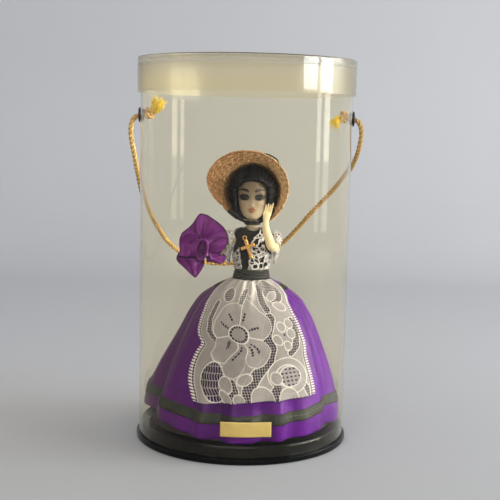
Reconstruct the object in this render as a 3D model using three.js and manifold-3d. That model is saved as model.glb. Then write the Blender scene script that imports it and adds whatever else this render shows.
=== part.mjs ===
// Costume doll that stands on a plug base inside a clear display tube with a lid and a carrying cord.
// Millimetres, +Z up, the doll looks along -Y. The origin is the centre of the foot.

import * as THREE from 'three';
import { mergeVertices } from 'three/addons/utils/BufferGeometryUtils.js';
import manifoldModule from 'manifold-3d';

// Case
const CASE_HEIGHT = 200;
const TUBE_RADIUS = 55.2;
const TUBE_WALL = 0.5;
const LID_WALL = 0.8;
const LID_CLEARANCE = 0.8;
const LID_HEIGHT = 17.6;
const LID_RECESS = 3.6;
const LID_PANEL = 0.9;
const FLANGE_REACH = 1.4;
const FLANGE_HEIGHT = 3.2;
const PLUG_RISE = 6.1;
const PLUG_WALL = 1.2;
const PLUG_CLEARANCE = 0.4;
const FOOT_WIDTH = 3.4;
const EYELET_DROP = 29.2;
const EYELET_BORE = 2.3;
const EYELET_LIP = 1.1;
const EYELET_WALL = 0.5;
const EYELET_PLATE = 0.8;
const EYELET_BACK = 0.6;

// Carrying cord
const CORD_RADIUS = 1.4;
const KNOT_LENGTH = 5.2;
const KNOT_RADIUS = 2.7;
const TASSEL_LENGTH = 7.5;
const TASSEL_RADIUS = 2.6;

// Gaps between pieces
const SEAT = 0.3;
const CLOTH_GAP = 0.35;

// Skirt and what lies on it
const SKIRT_HEIGHT = 76.6;
const SKIRT_CLOTH = 0.8;
const SKIRT_TO_TUBE = 1.25;
const SIDE_RISE = 6;
const LEAN = 4.2;
const FOLD_COUNT = 9;
const FOLD_SIDES = 54;
const FOLD_DEPTH = 0.7;
const CONE_CARD = 0.8;
const CONE_SPACE = 3.2;
const BAND_CENTRE = 0.142;
const BAND_WIDTH = 5.6;
const RIBBON = 0.4;
const APRON_LENGTH = 56.2;
const APRON_LEFT = [-33, -57];
const APRON_RIGHT = [51, 62];
const APRON_CLOTH = 0.6;
const LABEL_WIDTH = 25.5;
const LABEL_HEIGHT = 7.6;
const LABEL_TURN = 3.1;
const LABEL_CARD = 0.25;

// Upper body, heights above the waist
const SASH_HEIGHT = 4.6;
const SASH_RADIUS = 11.4;
const BODICE_TOP = 26.5;
const VELVET = 0.7;
const LACE = 0.6;
const SHOULDER_HEIGHT = 19.5;
const SHOULDER_Y = -0.5;
const SHOULDER_HALF = 8.6;
const NECK_RADIUS = 3.3;
const NECK_SOCKET = 7.2;
const NECK_TOP = 27;
const PEG_RADIUS = 1.5;
const PEG_CLEARANCE = 0.3;
const PEG_LENGTH = 4.2;
const SLEEVE_RADIUS = 7;
const SLEEVE_REACH = 5;
const ARM_HOLE = 3.6;

// Head and bonnet
const HAIR_HALF_WIDTH = 13.3;
const HAIR_HALF_DEPTH = 11.8;
const HAIR_HALF_HEIGHT = 13.9;
const HAIR_CENTRE = [0, 2.6, 45.3];
const FACE_HALF_WIDTH = 8.1;
const FACE_HALF_HEIGHT = 10.2;
const FACE_HEIGHT = 42;
const STRAW = 1;
const BRIM_FORWARD = 5.6;
const CROWN_SPACE = 1;

// Pendant and flower
const CROSS_LENGTH = 11.2;
const CROSS_SPAN = 7.6;
const CROSS_BAR = 1.7;
const CROSS_THICK = 1;
const CROSS_TILT = 20;
const EYE_RADIUS = 0.95;
const EYE_WIRE = 0.32;
const STITCH_RADIUS = 0.3;
const PETAL_CLOTH = 0.6;
const PETAL_STEP = 0.95;
const BUD = [4.4, 2.6, 7.4];
const STEM_RADIUS = 0.8;

const ROUND = 48;
const FINE = 20;

const wasm = await manifoldModule();
wasm.setup();
const { Manifold, Mesh: ManifoldMesh } = wasm;

const radians = THREE.MathUtils.degToRad;
const vec = (x, y, z) => new THREE.Vector3(x, y, z);
const mix = THREE.MathUtils.lerp;
const smooth = (value, low, high) => THREE.MathUtils.smoothstep(value, low, high);

const materials = {
  case_black: ['#17191a', 0.45, 0],
  clear_sheet: ['#e6dfb0', 0.1, 0],
  lid_clear: ['#d9cf9c', 0.15, 0],
  cord_gold: ['#c99a52', 0.7, 0],
  tassel_yellow: ['#f0c83c', 0.8, 0],
  card: ['#b9a98a', 0.9, 0],
  satin_purple: ['#5f2488', 0.4, 0],
  ribbon_dark: ['#2b302b', 0.6, 0],
  lace_white: ['#d8d3c8', 0.9, 0],
  label_gold: ['#cfae52', 0.35, 0.6],
  skin_plastic: ['#e8d3ab', 0.4, 0],
  velvet_black: ['#15151a', 0.95, 0],
  hair_black: ['#15151c', 0.4, 0],
  straw: ['#c8965f', 0.8, 0],
  gilt: ['#d59a4e', 0.3, 1],
  petal_plum: ['#4b1d63', 0.4, 0],
};
for (const [name, [color, roughness, metalness]] of Object.entries(materials)) {
  materials[name] = new THREE.MeshStandardMaterial({ name, color, roughness, metalness });
}
[materials.clear_sheet, materials.lid_clear].forEach((clear) => {
  clear.transparent = true;
  clear.opacity = 0.25;
});

// A geometry with merged points, no empty triangles, and its faces turned outward.
function tidy(geometry) {
  const bare = new THREE.BufferGeometry();
  bare.setAttribute('position', geometry.getAttribute('position').clone());
  if (geometry.index) {
    bare.setIndex(Array.from(geometry.index.array));
  }
  const merged = mergeVertices(bare, 2e-3);
  const at = merged.getAttribute('position');
  const index = merged.index.array;
  const kept = [];
  let volume = 0;
  const [a, b, c] = [vec(), vec(), vec()];
  for (let i = 0; i < index.length; i += 3) {
    const [p, q, r] = [index[i], index[i + 1], index[i + 2]];
    if (p === q || q === r || r === p) {
      continue;
    }
    kept.push(p, q, r);
    a.fromBufferAttribute(at, p);
    b.fromBufferAttribute(at, q);
    c.fromBufferAttribute(at, r);
    volume += a.dot(b.cross(c));
  }
  if (volume < 0) {
    for (let i = 0; i < kept.length; i += 3) {
      [kept[i + 1], kept[i + 2]] = [kept[i + 2], kept[i + 1]];
    }
  }
  merged.setIndex(kept);
  return merged;
}

function toSolid(geometry) {
  const clean = tidy(geometry);
  return new Manifold(new ManifoldMesh({
    numProp: 3,
    vertProperties: new Float32Array(clean.getAttribute('position').array),
    triVerts: new Uint32Array(clean.index.array),
  }));
}

function toGeometry(solid) {
  const mesh = solid.getMesh();
  const geometry = new THREE.BufferGeometry();
  const points = new Float32Array(mesh.numVert * 3);
  for (let i = 0; i < mesh.numVert; i += 1) {
    points.set(mesh.vertProperties.subarray(i * mesh.numProp, i * mesh.numProp + 3), i * 3);
  }
  geometry.setAttribute('position', new THREE.BufferAttribute(points, 3));
  geometry.setIndex(Array.from(mesh.triVerts));
  return geometry;
}

const cut = (body, ...tools) => toGeometry(tools.reduce((left, tool) => left.subtract(toSolid(tool)), toSolid(body)));
const join = (body, ...more) => toGeometry(more.reduce((sum, part) => sum.add(toSolid(part)), toSolid(body)));

// Quads between rows of points. Each row closes on itself when wrapped is set.
function strips(rows, wrapped, positions, index, flip = false) {
  const start = positions.length / 3;
  const count = rows[0].length;
  rows.forEach((row) => row.forEach((p) => positions.push(p.x, p.y, p.z)));
  const last = wrapped ? count : count - 1;
  for (let i = 0; i + 1 < rows.length; i += 1) {
    for (let j = 0; j < last; j += 1) {
      const a = start + i * count + j;
      const b = start + i * count + ((j + 1) % count);
      const [c, d] = [a + count, b + count];
      index.push(...(flip ? [a, c, b, b, c, d] : [a, b, c, b, d, c]));
    }
  }
}

function fromLists(positions, index) {
  const geometry = new THREE.BufferGeometry();
  geometry.setAttribute('position', new THREE.Float32BufferAttribute(positions, 3));
  geometry.setIndex(index);
  return tidy(geometry);
}

// A skin over closed rings of points with a fan over each end.
function skin(rings) {
  const positions = [];
  const index = [];
  strips(rings, true, positions, index);
  const count = rings[0].length;
  [[0, true], [rings.length - 1, false]].forEach(([ring, flip]) => {
    const middle = rings[ring].reduce((sum, p) => sum.add(p), vec(0, 0, 0)).divideScalar(count);
    const hub = positions.length / 3;
    positions.push(middle.x, middle.y, middle.z);
    for (let j = 0; j < count; j += 1) {
      const [a, b] = [ring * count + j, ring * count + ((j + 1) % count)];
      index.push(...(flip ? [hub, b, a] : [hub, a, b]));
    }
  });
  return fromLists(positions, index);
}

// A profile of [radius, height] turned round +Z. It starts and ends on the axis or closes on itself.
function spin(profile, sides, place = (r, h, turn) => vec(r * Math.cos(turn), r * Math.sin(turn), h)) {
  const positions = [];
  const index = [];
  const onAxis = profile[0][0] === 0 && profile[profile.length - 1][0] === 0;
  const path = onAxis ? profile : [...profile, profile[0]];
  const rows = path.map(([r, h, more]) => Array.from(
    { length: sides },
    (_, j) => place(r, h, (2 * Math.PI * j) / sides, more),
  ));
  strips(rows, true, positions, index);
  return fromLists(positions, index);
}

// A thin closed sheet between two layers. point(u, v, layer) is 0 on the near layer and 1 on the far one.
function sheet(point, across, along) {
  const positions = [];
  const index = [];
  const grid = (layer) => Array.from({ length: along + 1 }, (_, i) => Array.from(
    { length: across + 1 },
    (_unused, j) => point(j / across, i / along, layer),
  ));
  const [near, far] = [grid(0), grid(1)];
  strips(near, false, positions, index, true);
  strips(far, false, positions, index);
  strips([near[0], far[0]], false, positions, index);
  strips([near[along], far[along]], false, positions, index, true);
  strips([near.map((row) => row[0]), far.map((row) => row[0])], false, positions, index, true);
  strips([near.map((row) => row[across]), far.map((row) => row[across])], false, positions, index);
  return fromLists(positions, index);
}

// Rings of an ellipse along a path of [x, y, z, half width, half depth], smoothed and grown on request.
function limb(path, sides, steps, grow = 0) {
  const route = new THREE.CatmullRomCurve3(path.map(([x, y, z]) => vec(x, y, z)), false, 'centripetal');
  const girth = new THREE.CatmullRomCurve3(path.map(([, , , w, d]) => vec(w, d ?? w, 0)), false, 'centripetal');
  let side = vec(1, 0, 0);
  if (Math.abs(route.getTangent(0).x) > 0.9) {
    side = vec(0, 0, 1);
  }
  const rings = [];
  for (let i = 0; i <= steps; i += 1) {
    const t = i / steps;
    const centre = route.getPoint(t);
    const along = route.getTangent(t);
    side.addScaledVector(along, -side.dot(along)).normalize();
    const front = along.clone().cross(side);
    const size = girth.getPoint(t);
    rings.push(Array.from({ length: sides }, (_, j) => {
      const turn = (2 * Math.PI * j) / sides;
      return centre.clone()
        .addScaledVector(side, (size.x + grow) * Math.cos(turn))
        .addScaledVector(front, (size.y + grow) * Math.sin(turn));
    }));
    side = side.clone();
  }
  return skin(rings);
}

// The value of a list of [position, ...values] at a position, straight between its entries.
function between(list, at) {
  const last = list.length - 1;
  if (at <= list[0][0]) {
    return list[0].slice(1);
  }
  for (let i = 0; i < last; i += 1) {
    const [low, high] = [list[i], list[i + 1]];
    if (at <= high[0]) {
      const t = (at - low[0]) / (high[0] - low[0]);
      return low.slice(1).map((value, k) => mix(value, high[k + 1], t));
    }
  }
  return list[last].slice(1);
}

// A cylinder along one axis between two positions.
function rod(axis, radius, from, to, sides = FINE) {
  const geometry = spin([[0, from], [radius, from], [radius, to], [0, to]], sides);
  if (axis === 'x') {
    geometry.rotateY(Math.PI / 2);
  } else if (axis === 'y') {
    geometry.rotateX(-Math.PI / 2);
  }
  return geometry;
}

const doll = new THREE.Group();
doll.name = 'costume_doll_case';

function add(name, geometry, material, parent = doll) {
  const mesh = new THREE.Mesh(tidy(geometry), materials[material]);
  mesh.name = name;
  parent.add(mesh);
  return mesh;
}

// Case: base, tube, lid and eyelets.
const tubeInner = TUBE_RADIUS - TUBE_WALL;
const flangeRadius = TUBE_RADIUS + FLANGE_REACH;
const plugRadius = tubeInner - PLUG_CLEARANCE;
const plugTop = FLANGE_HEIGHT + PLUG_RISE;
const lidRadius = TUBE_RADIUS + LID_CLEARANCE + LID_WALL;
const lidInner = TUBE_RADIUS + LID_CLEARANCE;
const panelTop = CASE_HEIGHT - LID_RECESS;
const panelBottom = panelTop - LID_PANEL;
const tubeTop = panelBottom - SEAT;
const eyeletHeight = CASE_HEIGHT - EYELET_DROP;

add('base_plug', spin([
  [0, plugTop],
  [plugRadius - 1.2, plugTop],
  [plugRadius - 0.35, plugTop - 0.35],
  [plugRadius, plugTop - 1.2],
  [plugRadius, FLANGE_HEIGHT],
  [flangeRadius - 0.6, FLANGE_HEIGHT],
  [flangeRadius, FLANGE_HEIGHT - 0.6],
  [flangeRadius, 0.6],
  [flangeRadius - 0.6, 0],
  [flangeRadius - FOOT_WIDTH, 0],
  [plugRadius - PLUG_WALL, plugTop - PLUG_WALL],
  [0, plugTop - PLUG_WALL],
], ROUND), 'case_black');

const tubeWall = spin([
  [TUBE_RADIUS, FLANGE_HEIGHT + SEAT],
  [TUBE_RADIUS, tubeTop],
  [tubeInner, tubeTop],
  [tubeInner, FLANGE_HEIGHT + SEAT],
], ROUND);
const holeRadius = EYELET_BORE + EYELET_WALL + SEAT;
const eyeletHole = rod('x', holeRadius, tubeInner - 2, TUBE_RADIUS + 2);
eyeletHole.translate(0, 0, eyeletHeight);
add('display_tube', cut(tubeWall, eyeletHole, eyeletHole.clone().rotateZ(Math.PI)), 'clear_sheet');

add('lid', spin([
  [0, panelTop],
  [lidInner - 1.2, panelTop],
  [lidInner, panelTop + 1.2],
  [lidInner, CASE_HEIGHT - 0.3],
  [lidInner + 0.3, CASE_HEIGHT],
  [lidRadius - 0.3, CASE_HEIGHT],
  [lidRadius, CASE_HEIGHT - 0.4],
  [lidRadius, CASE_HEIGHT - LID_HEIGHT],
  [lidInner, CASE_HEIGHT - LID_HEIGHT],
  [lidInner, panelBottom],
  [0, panelBottom],
], ROUND), 'lid_clear');

// Eyelet: a flanged ring whose two plates hold the wall of the tube between them.
const plateRadius = EYELET_BORE + EYELET_WALL + EYELET_LIP;
const eyelet = spin([
  [EYELET_BORE + 0.45, SEAT + EYELET_PLATE],
  [EYELET_BORE, SEAT + EYELET_PLATE - 0.45],
  [EYELET_BORE, -TUBE_WALL - EYELET_BACK - EYELET_PLATE],
  [plateRadius - 0.3, -TUBE_WALL - EYELET_BACK - EYELET_PLATE],
  [plateRadius - 0.3, -TUBE_WALL - EYELET_BACK],
  [EYELET_BORE + EYELET_WALL, -TUBE_WALL - EYELET_BACK],
  [EYELET_BORE + EYELET_WALL, SEAT],
  [plateRadius, SEAT],
  [plateRadius, SEAT + EYELET_PLATE * 0.6],
  [plateRadius - 0.35, SEAT + EYELET_PLATE],
], 16);
eyelet.rotateY(Math.PI / 2);
const eyeletRight = add('right_eyelet', eyelet, 'case_black');
eyeletRight.position.set(TUBE_RADIUS, 0, eyeletHeight);
const eyeletLeft = add('left_eyelet', eyelet, 'case_black');
eyeletLeft.position.set(-TUBE_RADIUS, 0, eyeletHeight);
eyeletLeft.rotation.z = Math.PI;

// Carrying cord: out of the left eyelet, down round the back of the tube and into the right eyelet.
const cordRoute = [
  [-52.6, 0, 171.3], [-55, 0, 170.8], [-56.6, 0, 170.4], [-58.6, 0, 169.2], [-60, 0, 166.6],
  [-60.5, 0, 163], [-60.2, 0.2, 158], [-59.2, 1.5, 152], [-58.3, 4.5, 145], [-57.6, 8.6, 139],
  [-55.4, 17.6, 125.1], [-50.8, 28.6, 112.2], [-43.4, 38.8, 99.4], [-34, 47, 91.5], [-23.5, 53.2, 87],
  [-11.4, 57, 85.8], [1, 58.2, 87.4], [12.5, 56.9, 92.8], [22.8, 53.6, 99.6], [30.8, 49.6, 108.5],
  [38, 44.2, 117.8], [46, 36.2, 127.6], [53.2, 24, 137.9], [57.4, 11.5, 146.6], [59.6, 2, 155.9],
  [60.4, 0, 163], [60, 0, 166.6], [58.6, 0, 169.2], [56.6, 0, 170.4], [55, 0, 170.8], [52.6, 0, 171.3],
];
const cordCurve = new THREE.CatmullRomCurve3(cordRoute.map(([x, y, z]) => vec(x, y, z)), false, 'centripetal');
const cordSection = new THREE.Shape().absarc(0, 0, CORD_RADIUS, 0, 2 * Math.PI);
add('carry_cord', new THREE.ExtrudeGeometry(cordSection, {
  steps: 76, curveSegments: 4, bevelEnabled: false, extrudePath: cordCurve,
}), 'cord_gold');

// Stopper knot and frayed end of the cord, made along +Z from the end of the cord.
const knotShape = spin([
  [0, SEAT],
  [KNOT_RADIUS * 0.72, SEAT],
  [KNOT_RADIUS, KNOT_LENGTH * 0.25],
  [KNOT_RADIUS * 0.86, KNOT_LENGTH * 0.45],
  [KNOT_RADIUS * 0.98, KNOT_LENGTH * 0.68],
  [KNOT_RADIUS * 0.6, KNOT_LENGTH],
  [0, KNOT_LENGTH],
], 12);
const tasselShape = spin([
  [0, 0],
  [TASSEL_RADIUS * 0.55, 0],
  [TASSEL_RADIUS, TASSEL_LENGTH * 0.7],
  [TASSEL_RADIUS * 0.8, TASSEL_LENGTH],
  [0, TASSEL_LENGTH * 0.94],
], 12);
const inward = new THREE.Vector3();
const zAxis = vec(0, 0, 1);
[['left', cordRoute[0], cordRoute[1], vec(0.62, -0.1, 0.78)],
  ['right', cordRoute.at(-1), cordRoute.at(-2), vec(-0.82, -0.1, -0.56)]].forEach(([side, end, before, fray]) => {
  const tip = vec(...end);
  inward.subVectors(tip, vec(...before)).normalize();
  const knot = add(`${side}_knot`, knotShape, 'cord_gold');
  knot.position.copy(tip);
  knot.quaternion.setFromUnitVectors(zAxis, inward);
  const tassel = add(`${side}_tassel`, tasselShape, 'tassel_yellow');
  fray.normalize();
  const turn = inward.angleTo(fray);
  tassel.position.copy(tip).addScaledVector(inward, KNOT_LENGTH + SEAT + TASSEL_RADIUS * 0.55 * Math.sin(turn));
  tassel.quaternion.setFromUnitVectors(zAxis, fray);
});

// Skirt: a point of its outer side by the turn from the front, the share of its height, and an offset.
const hemHeight = plugTop + SEAT;
const waistHeight = hemHeight + SKIRT_HEIGHT;
const hemRadius = tubeInner - SKIRT_TO_TUBE;
const SKIRT_SHAPE = [
  [0, 1], [0.1, 0.99], [0.235, 0.934], [0.56, 0.752], [0.78, 0.595], [0.86, 0.512], [0.945, 0.34], [1, 0.193],
];
const leanAt = (z) => (LEAN * (z - hemHeight)) / SKIRT_HEIGHT;

function skirtPoint(turn, share, offset) {
  const low = hemHeight + SIDE_RISE * Math.sin(turn) ** 2;
  const z = mix(low, waistHeight, share);
  const [size] = between(SKIRT_SHAPE, share);
  const fold = FOLD_DEPTH * (1 - share * 0.8) * (Math.cos(FOLD_COUNT * turn + 0.8 * Math.sin(3 * turn)) - 1);
  const radius = hemRadius * size + fold + offset;
  return vec(leanAt(z) + radius * Math.sin(turn), -radius * Math.cos(turn), z);
}

const skirtShares = SKIRT_SHAPE.map(([share]) => share);
add('skirt', spin([
  ...skirtShares.map((share) => [0, share]),
  ...skirtShares.map((share) => [-SKIRT_CLOTH, share]).reverse(),
], FOLD_SIDES, (offset, share, turn) => skirtPoint(turn, share, offset)), 'satin_purple');

// Card cone under the skirt, from the base to the waist.
const coneFoot = hemRadius - 2 * FOLD_DEPTH - SKIRT_CLOTH - CONE_SPACE;
const coneHead = hemRadius * SKIRT_SHAPE.at(-1)[1] - 2 * FOLD_DEPTH - SKIRT_CLOTH;
const coneTop = waistHeight - 1.5;
add('skirt_cone', spin([
  [coneFoot, hemHeight],
  [coneHead, coneTop],
  [coneHead - CONE_CARD, coneTop],
  [coneFoot - CONE_CARD, hemHeight],
], ROUND, (r, z, turn) => vec(leanAt(z) + r * Math.cos(turn), r * Math.sin(turn), z)), 'card');

// Ribbon near the hem.
const bandHalf = BAND_WIDTH / 2 / SKIRT_HEIGHT;
add('hem_band', spin([
  [CLOTH_GAP, BAND_CENTRE - bandHalf],
  [CLOTH_GAP + RIBBON, BAND_CENTRE - bandHalf],
  [CLOTH_GAP + RIBBON, BAND_CENTRE + bandHalf],
  [CLOTH_GAP, BAND_CENTRE + bandHalf],
], FOLD_SIDES, (offset, share, turn) => skirtPoint(turn, share, offset)), 'ribbon_dark');

// Apron: a gathered lace sheet over the front of the skirt, with its scalloped side edges.
const apronLow = 1 - APRON_LENGTH / SKIRT_HEIGHT;
const apronRows = [0, 0.25, 0.5, 0.75].map((t) => mix(apronLow, 0.56, t))
  .concat([0.56, 0.63, 0.7, 0.78, 0.82, 0.86, 0.9, 0.945, 1]);
const apronSteps = apronRows.length - 1;
function apronPoint(u, row, layer) {
  const v = row / apronSteps;
  const share = apronRows[row] - 0.03 * Math.max(0, 1 - 5 * v) * smooth(0.45 - u, 0, 0.45);
  const scallop = 1.6 * Math.abs(Math.sin(7 * Math.PI * v)) * (1 - 0.6 * v);
  const left = radians(mix(APRON_LEFT[0], APRON_LEFT[1], v) - scallop);
  const right = radians(mix(APRON_RIGHT[0], APRON_RIGHT[1], v) + scallop);
  const gather = 0.35 * v * (1 + Math.cos(8 * Math.PI * u));
  return skirtPoint(mix(left, right, u), share, CLOTH_GAP + gather + layer * APRON_CLOTH);
}
add('apron', sheet((u, v, layer) => apronPoint(u, Math.round(v * apronSteps), layer), 16, apronSteps), 'lace_white');

// String of the apron, from one top corner of the apron round the back to the other.
const stringFrom = radians(APRON_RIGHT[1] + 4);
const stringTo = radians(360 + APRON_LEFT[1] - 4);
const stringRows = [0.93, 0.945, 0.962];
add('apron_string', sheet((u, v, layer) => skirtPoint(
  mix(stringFrom, stringTo, u),
  stringRows[Math.round(v * 2)],
  CLOTH_GAP + layer * RIBBON,
), 28, 2), 'ribbon_dark');

// Blank label, glued over the ribbon at the front.
const bandSize = between(SKIRT_SHAPE, BAND_CENTRE - bandHalf)[0];
const labelRadius = hemRadius * bandSize + CLOTH_GAP + RIBBON + SEAT;
const labelTurn = LABEL_WIDTH / labelRadius / 2;
const labelHeight = hemHeight + BAND_CENTRE * SKIRT_HEIGHT - 2.9;
add('name_label', sheet((u, v, layer) => {
  const turn = radians(LABEL_TURN) + mix(-labelTurn, labelTurn, u);
  const radius = labelRadius + layer * LABEL_CARD;
  return vec(
    radius * Math.sin(turn),
    -radius * Math.cos(turn),
    labelHeight + mix(-0.5, 0.5, v) * LABEL_HEIGHT,
  );
}, 8, 1), 'label_gold');

// Upper body, from the waist up.
const upper = new THREE.Group();
upper.name = 'upper_body';
upper.position.set(LEAN, 0, waistHeight);
doll.add(upper);

// Half width, front depth and back depth of the torso by height.
const TORSO_SHAPE = [
  [-4, 6.2, 5.4, 5.2], [0, 7, 6, 5.6], [5, 7.2, 6.4, 5.6], [11, 8.2, 8, 6],
  [16, 8.6, 8.2, 6.2], [SHOULDER_HEIGHT + 1, SHOULDER_HALF, 6.8, 6], [24.5, 7.8, 5.2, 5.2],
  [26.3, 6, 4.4, 4.6], [NECK_TOP, 4.4, 4, 4.2],
];
function torsoPoint(turn, z, offset) {
  const [half, front, back] = between(TORSO_SHAPE, z);
  const depth = Math.cos(turn) > 0 ? front : back;
  return vec((half + offset) * Math.sin(turn), -(depth + offset) * Math.cos(turn), z);
}
const ringOf = (sides, point) => Array.from({ length: sides }, (_, j) => point((2 * Math.PI * j) / sides));

const torsoBody = skin(TORSO_SHAPE.map(([z]) => ringOf(FINE, (turn) => torsoPoint(turn, z, 0))));
const pegBore = rod('x', PEG_RADIUS + PEG_CLEARANCE, SHOULDER_HALF - PEG_LENGTH, SHOULDER_HALF + 4, 16);
pegBore.translate(0, SHOULDER_Y, SHOULDER_HEIGHT);
const pegBoreRight = pegBore.clone().scale(-1, 1, 1);
const neckBore = rod('z', NECK_RADIUS + SEAT, NECK_TOP - NECK_SOCKET - SEAT, NECK_TOP + 2, FINE);
add('torso', cut(torsoBody, pegBore, pegBoreRight, neckBore), 'skin_plastic', upper);

add('waist_sash', spin([
  [7.2 + CLOTH_GAP, SEAT],
  [SASH_RADIUS, SEAT],
  [SASH_RADIUS - 0.5, SEAT + SASH_HEIGHT * 0.4],
  [SASH_RADIUS - 2.4, SEAT + SASH_HEIGHT],
  [7.2 + CLOTH_GAP, SEAT + SASH_HEIGHT],
], FINE, (r, h, turn) => vec(r * Math.cos(turn), r * Math.sin(turn) * mix(1, 0.94, h / SASH_HEIGHT), h)), 'ribbon_dark', upper);

const bodiceLow = SASH_HEIGHT + 2 * SEAT;
const torsoHeights = TORSO_SHAPE.map(([z]) => z).filter((z) => z > bodiceLow && z < BODICE_TOP);
const bodiceHeights = [bodiceLow, ...torsoHeights, BODICE_TOP];
const armHole = rod('x', ARM_HOLE, 4, 30, FINE);
armHole.translate(0, SHOULDER_Y, SHOULDER_HEIGHT);
const armHoleRight = armHole.clone().scale(-1, 1, 1);
add('bodice', cut(spin([
  ...bodiceHeights.map((z) => [CLOTH_GAP + VELVET, z]),
  ...bodiceHeights.map((z) => [CLOTH_GAP, z]).reverse(),
], FINE, (offset, z, turn) => torsoPoint(turn, z, offset)), armHole, armHoleRight), 'velvet_black', upper);

// Lace panels over the bodice. The inner edges leave a dark strip that widens toward the neck.
const laceNear = 2 * CLOTH_GAP + VELVET;
const laceHoleRadius = ARM_HOLE + 1.6;
const laceHole = rod('x', laceHoleRadius, 4, 30, FINE);
laceHole.translate(0, SHOULDER_Y, SHOULDER_HEIGHT);
const laceHeights = [bodiceLow, 8, ...torsoHeights.slice(0, 2), 18, ...torsoHeights.slice(2), BODICE_TOP - 0.4];
function lacePanel(lowEdge, highEdge, backEdge) {
  return sheet((u, v, layer) => {
    const z = laceHeights[Math.round(v * (laceHeights.length - 1))];
    return torsoPoint(radians(mix(mix(lowEdge, highEdge, v * v), backEdge, u)), z, laceNear + layer * LACE);
  }, 12, laceHeights.length - 1);
}
add('left_lace', cut(lacePanel(-9, 36, 174), laceHole), 'lace_white', upper);
add('right_lace', cut(lacePanel(-27, -36, -174), laceHole.clone().scale(-1, 1, 1)), 'lace_white', upper);

// Arms: a peg, a bent limb and a hand, turned about the line through both shoulder bores.
const shoulderFace = SHOULDER_HALF + CLOTH_GAP + VELVET + CLOTH_GAP;
const pegIn = SHOULDER_HALF - PEG_LENGTH + SEAT;

function arm(route, grow = 0) {
  const limbBody = limb(route, 10, 18, grow);
  return grow > 0 ? limbBody : join(limbBody, rod('x', PEG_RADIUS, pegIn, shoulderFace + 2, 16));
}

const leftRoute = [
  [shoulderFace - 0.1, 0, 0, 1.8], [shoulderFace + 1, -0.2, -0.2, 2.5], [shoulderFace + 2.9, -2.6, -1.4, 2.8],
  [shoulderFace + 3.3, -6.4, -2.8, 2.8], [shoulderFace + 2.9, -9.8, -3, 2.9], [shoulderFace + 1.8, -12.8, -1, 2.9],
  [shoulderFace + 0.3, -14, 2.6, 2.8], [8.2, -14.6, 7.4, 2.4], [7.2, -14.8, 11.6, 1.8], [7.3, -14.9, 13.6, 2.2, 1.5],
  [7.8, -14.9, 16, 2.4, 1.2], [8.2, -14.9, 17.2, 2.1, 0.9],
];
const rightRoute = [
  [shoulderFace - 0.1, 0, 0, 1.8], [shoulderFace + 0.9, -0.1, -0.2, 2.5], [shoulderFace + 2.4, -1, -1.2, 2.8],
  [shoulderFace + 5.4, -2.8, -3.8, 2.8], [shoulderFace + 8.6, -4.6, -4.8, 2.6], [shoulderFace + 11.6, -6.2, -4, 2.1],
  [shoulderFace + 13.6, -6.8, -2.8, 1.7], [shoulderFace + 15.4, -7.2, -1.6, 1.5, 2.2],
  [shoulderFace + 17, -7.5, -0.6, 1.2, 2.3], [shoulderFace + 18, -7.6, 0, 0.9, 2],
];
// Four fingers side by side and a thumb beyond the end of the palm.
function fingers(base, along, across, spread, length, thumbSide) {
  const list = [];
  for (let i = 0; i < 4; i += 1) {
    const root = base.clone().addScaledVector(across, spread * (i - 1.5)).addScaledVector(along, -1.4);
    const reach = length * (1 - 0.07 * (i - 1.4) ** 2) + 1.4;
    const bend = vec(0, -0.5, 0);
    list.push(limb([0, 0.5, 0.88, 1].map((t) => {
      const p = root.clone().addScaledVector(along, reach * t).addScaledVector(bend, t * t);
      return [p.x, p.y, p.z, [0.66, 0.62, 0.5, 0.26][[0, 0.5, 0.88, 1].indexOf(t)]];
    }), 6, 4));
  }
  const heel = base.clone().addScaledVector(along, -3.6).addScaledVector(across, thumbSide * spread * 1.2);
  list.push(limb([0, 0.5, 0.9, 1].map((t) => {
    const p = heel.clone().addScaledVector(along, 3.6 * t)
      .addScaledVector(across, thumbSide * spread * t);
    return [p.x, p.y - 0.4 * t, p.z, 0.72 - 0.36 * t * t];
  }), 6, 4));
  return list;
}
const leftAlong = vec(0.2, 0, 0.98).normalize();
const leftHand = fingers(vec(8.2, -14.9, 17.2), leftAlong, vec(0.98, 0, -0.2), 1.12, 4.4, -1);
const rightAlong = vec(0.82, -0.12, 0.55).normalize();
const rightEnd = vec(...rightRoute.at(-1).slice(0, 3));
const rightHand = fingers(rightEnd, rightAlong, vec(-0.55, 0, 0.82).normalize(), 1.12, 3.4, 1);

function sleeve(route) {
  const from = shoulderFace;
  const past = LACE + CLOTH_GAP;
  const neck = laceHoleRadius - CLOTH_GAP - SLEEVE_RADIUS;
  const shell = (r, inset) => [
    [r + neck, 0], [r + neck, past], [r * 0.93, past + SLEEVE_REACH * 0.16], [r, past + SLEEVE_REACH * 0.4],
    [r * 0.9, past + SLEEVE_REACH * 0.7], [r * 0.62, past + SLEEVE_REACH * 0.92], [0, past + SLEEVE_REACH - inset],
  ];
  const outer = shell(SLEEVE_RADIUS, 0);
  const inner = shell(SLEEVE_RADIUS - LACE, LACE).reverse();
  const dome = spin([...inner, ...outer], FINE);
  dome.rotateY(Math.PI / 2);
  dome.translate(from, 0, 0);
  return cut(dome, limb(route, 10, 18, CLOTH_GAP));
}

const placeArm = (mesh) => mesh.position.set(0, SHOULDER_Y, SHOULDER_HEIGHT);
placeArm(add('left_arm', join(arm(leftRoute), ...leftHand), 'skin_plastic', upper));
placeArm(add('left_sleeve', sleeve(leftRoute), 'lace_white', upper));
placeArm(add('right_arm', join(arm(rightRoute), ...rightHand).scale(-1, 1, 1), 'skin_plastic', upper));
placeArm(add('right_sleeve', sleeve(rightRoute).scale(-1, 1, 1), 'lace_white', upper));

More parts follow.
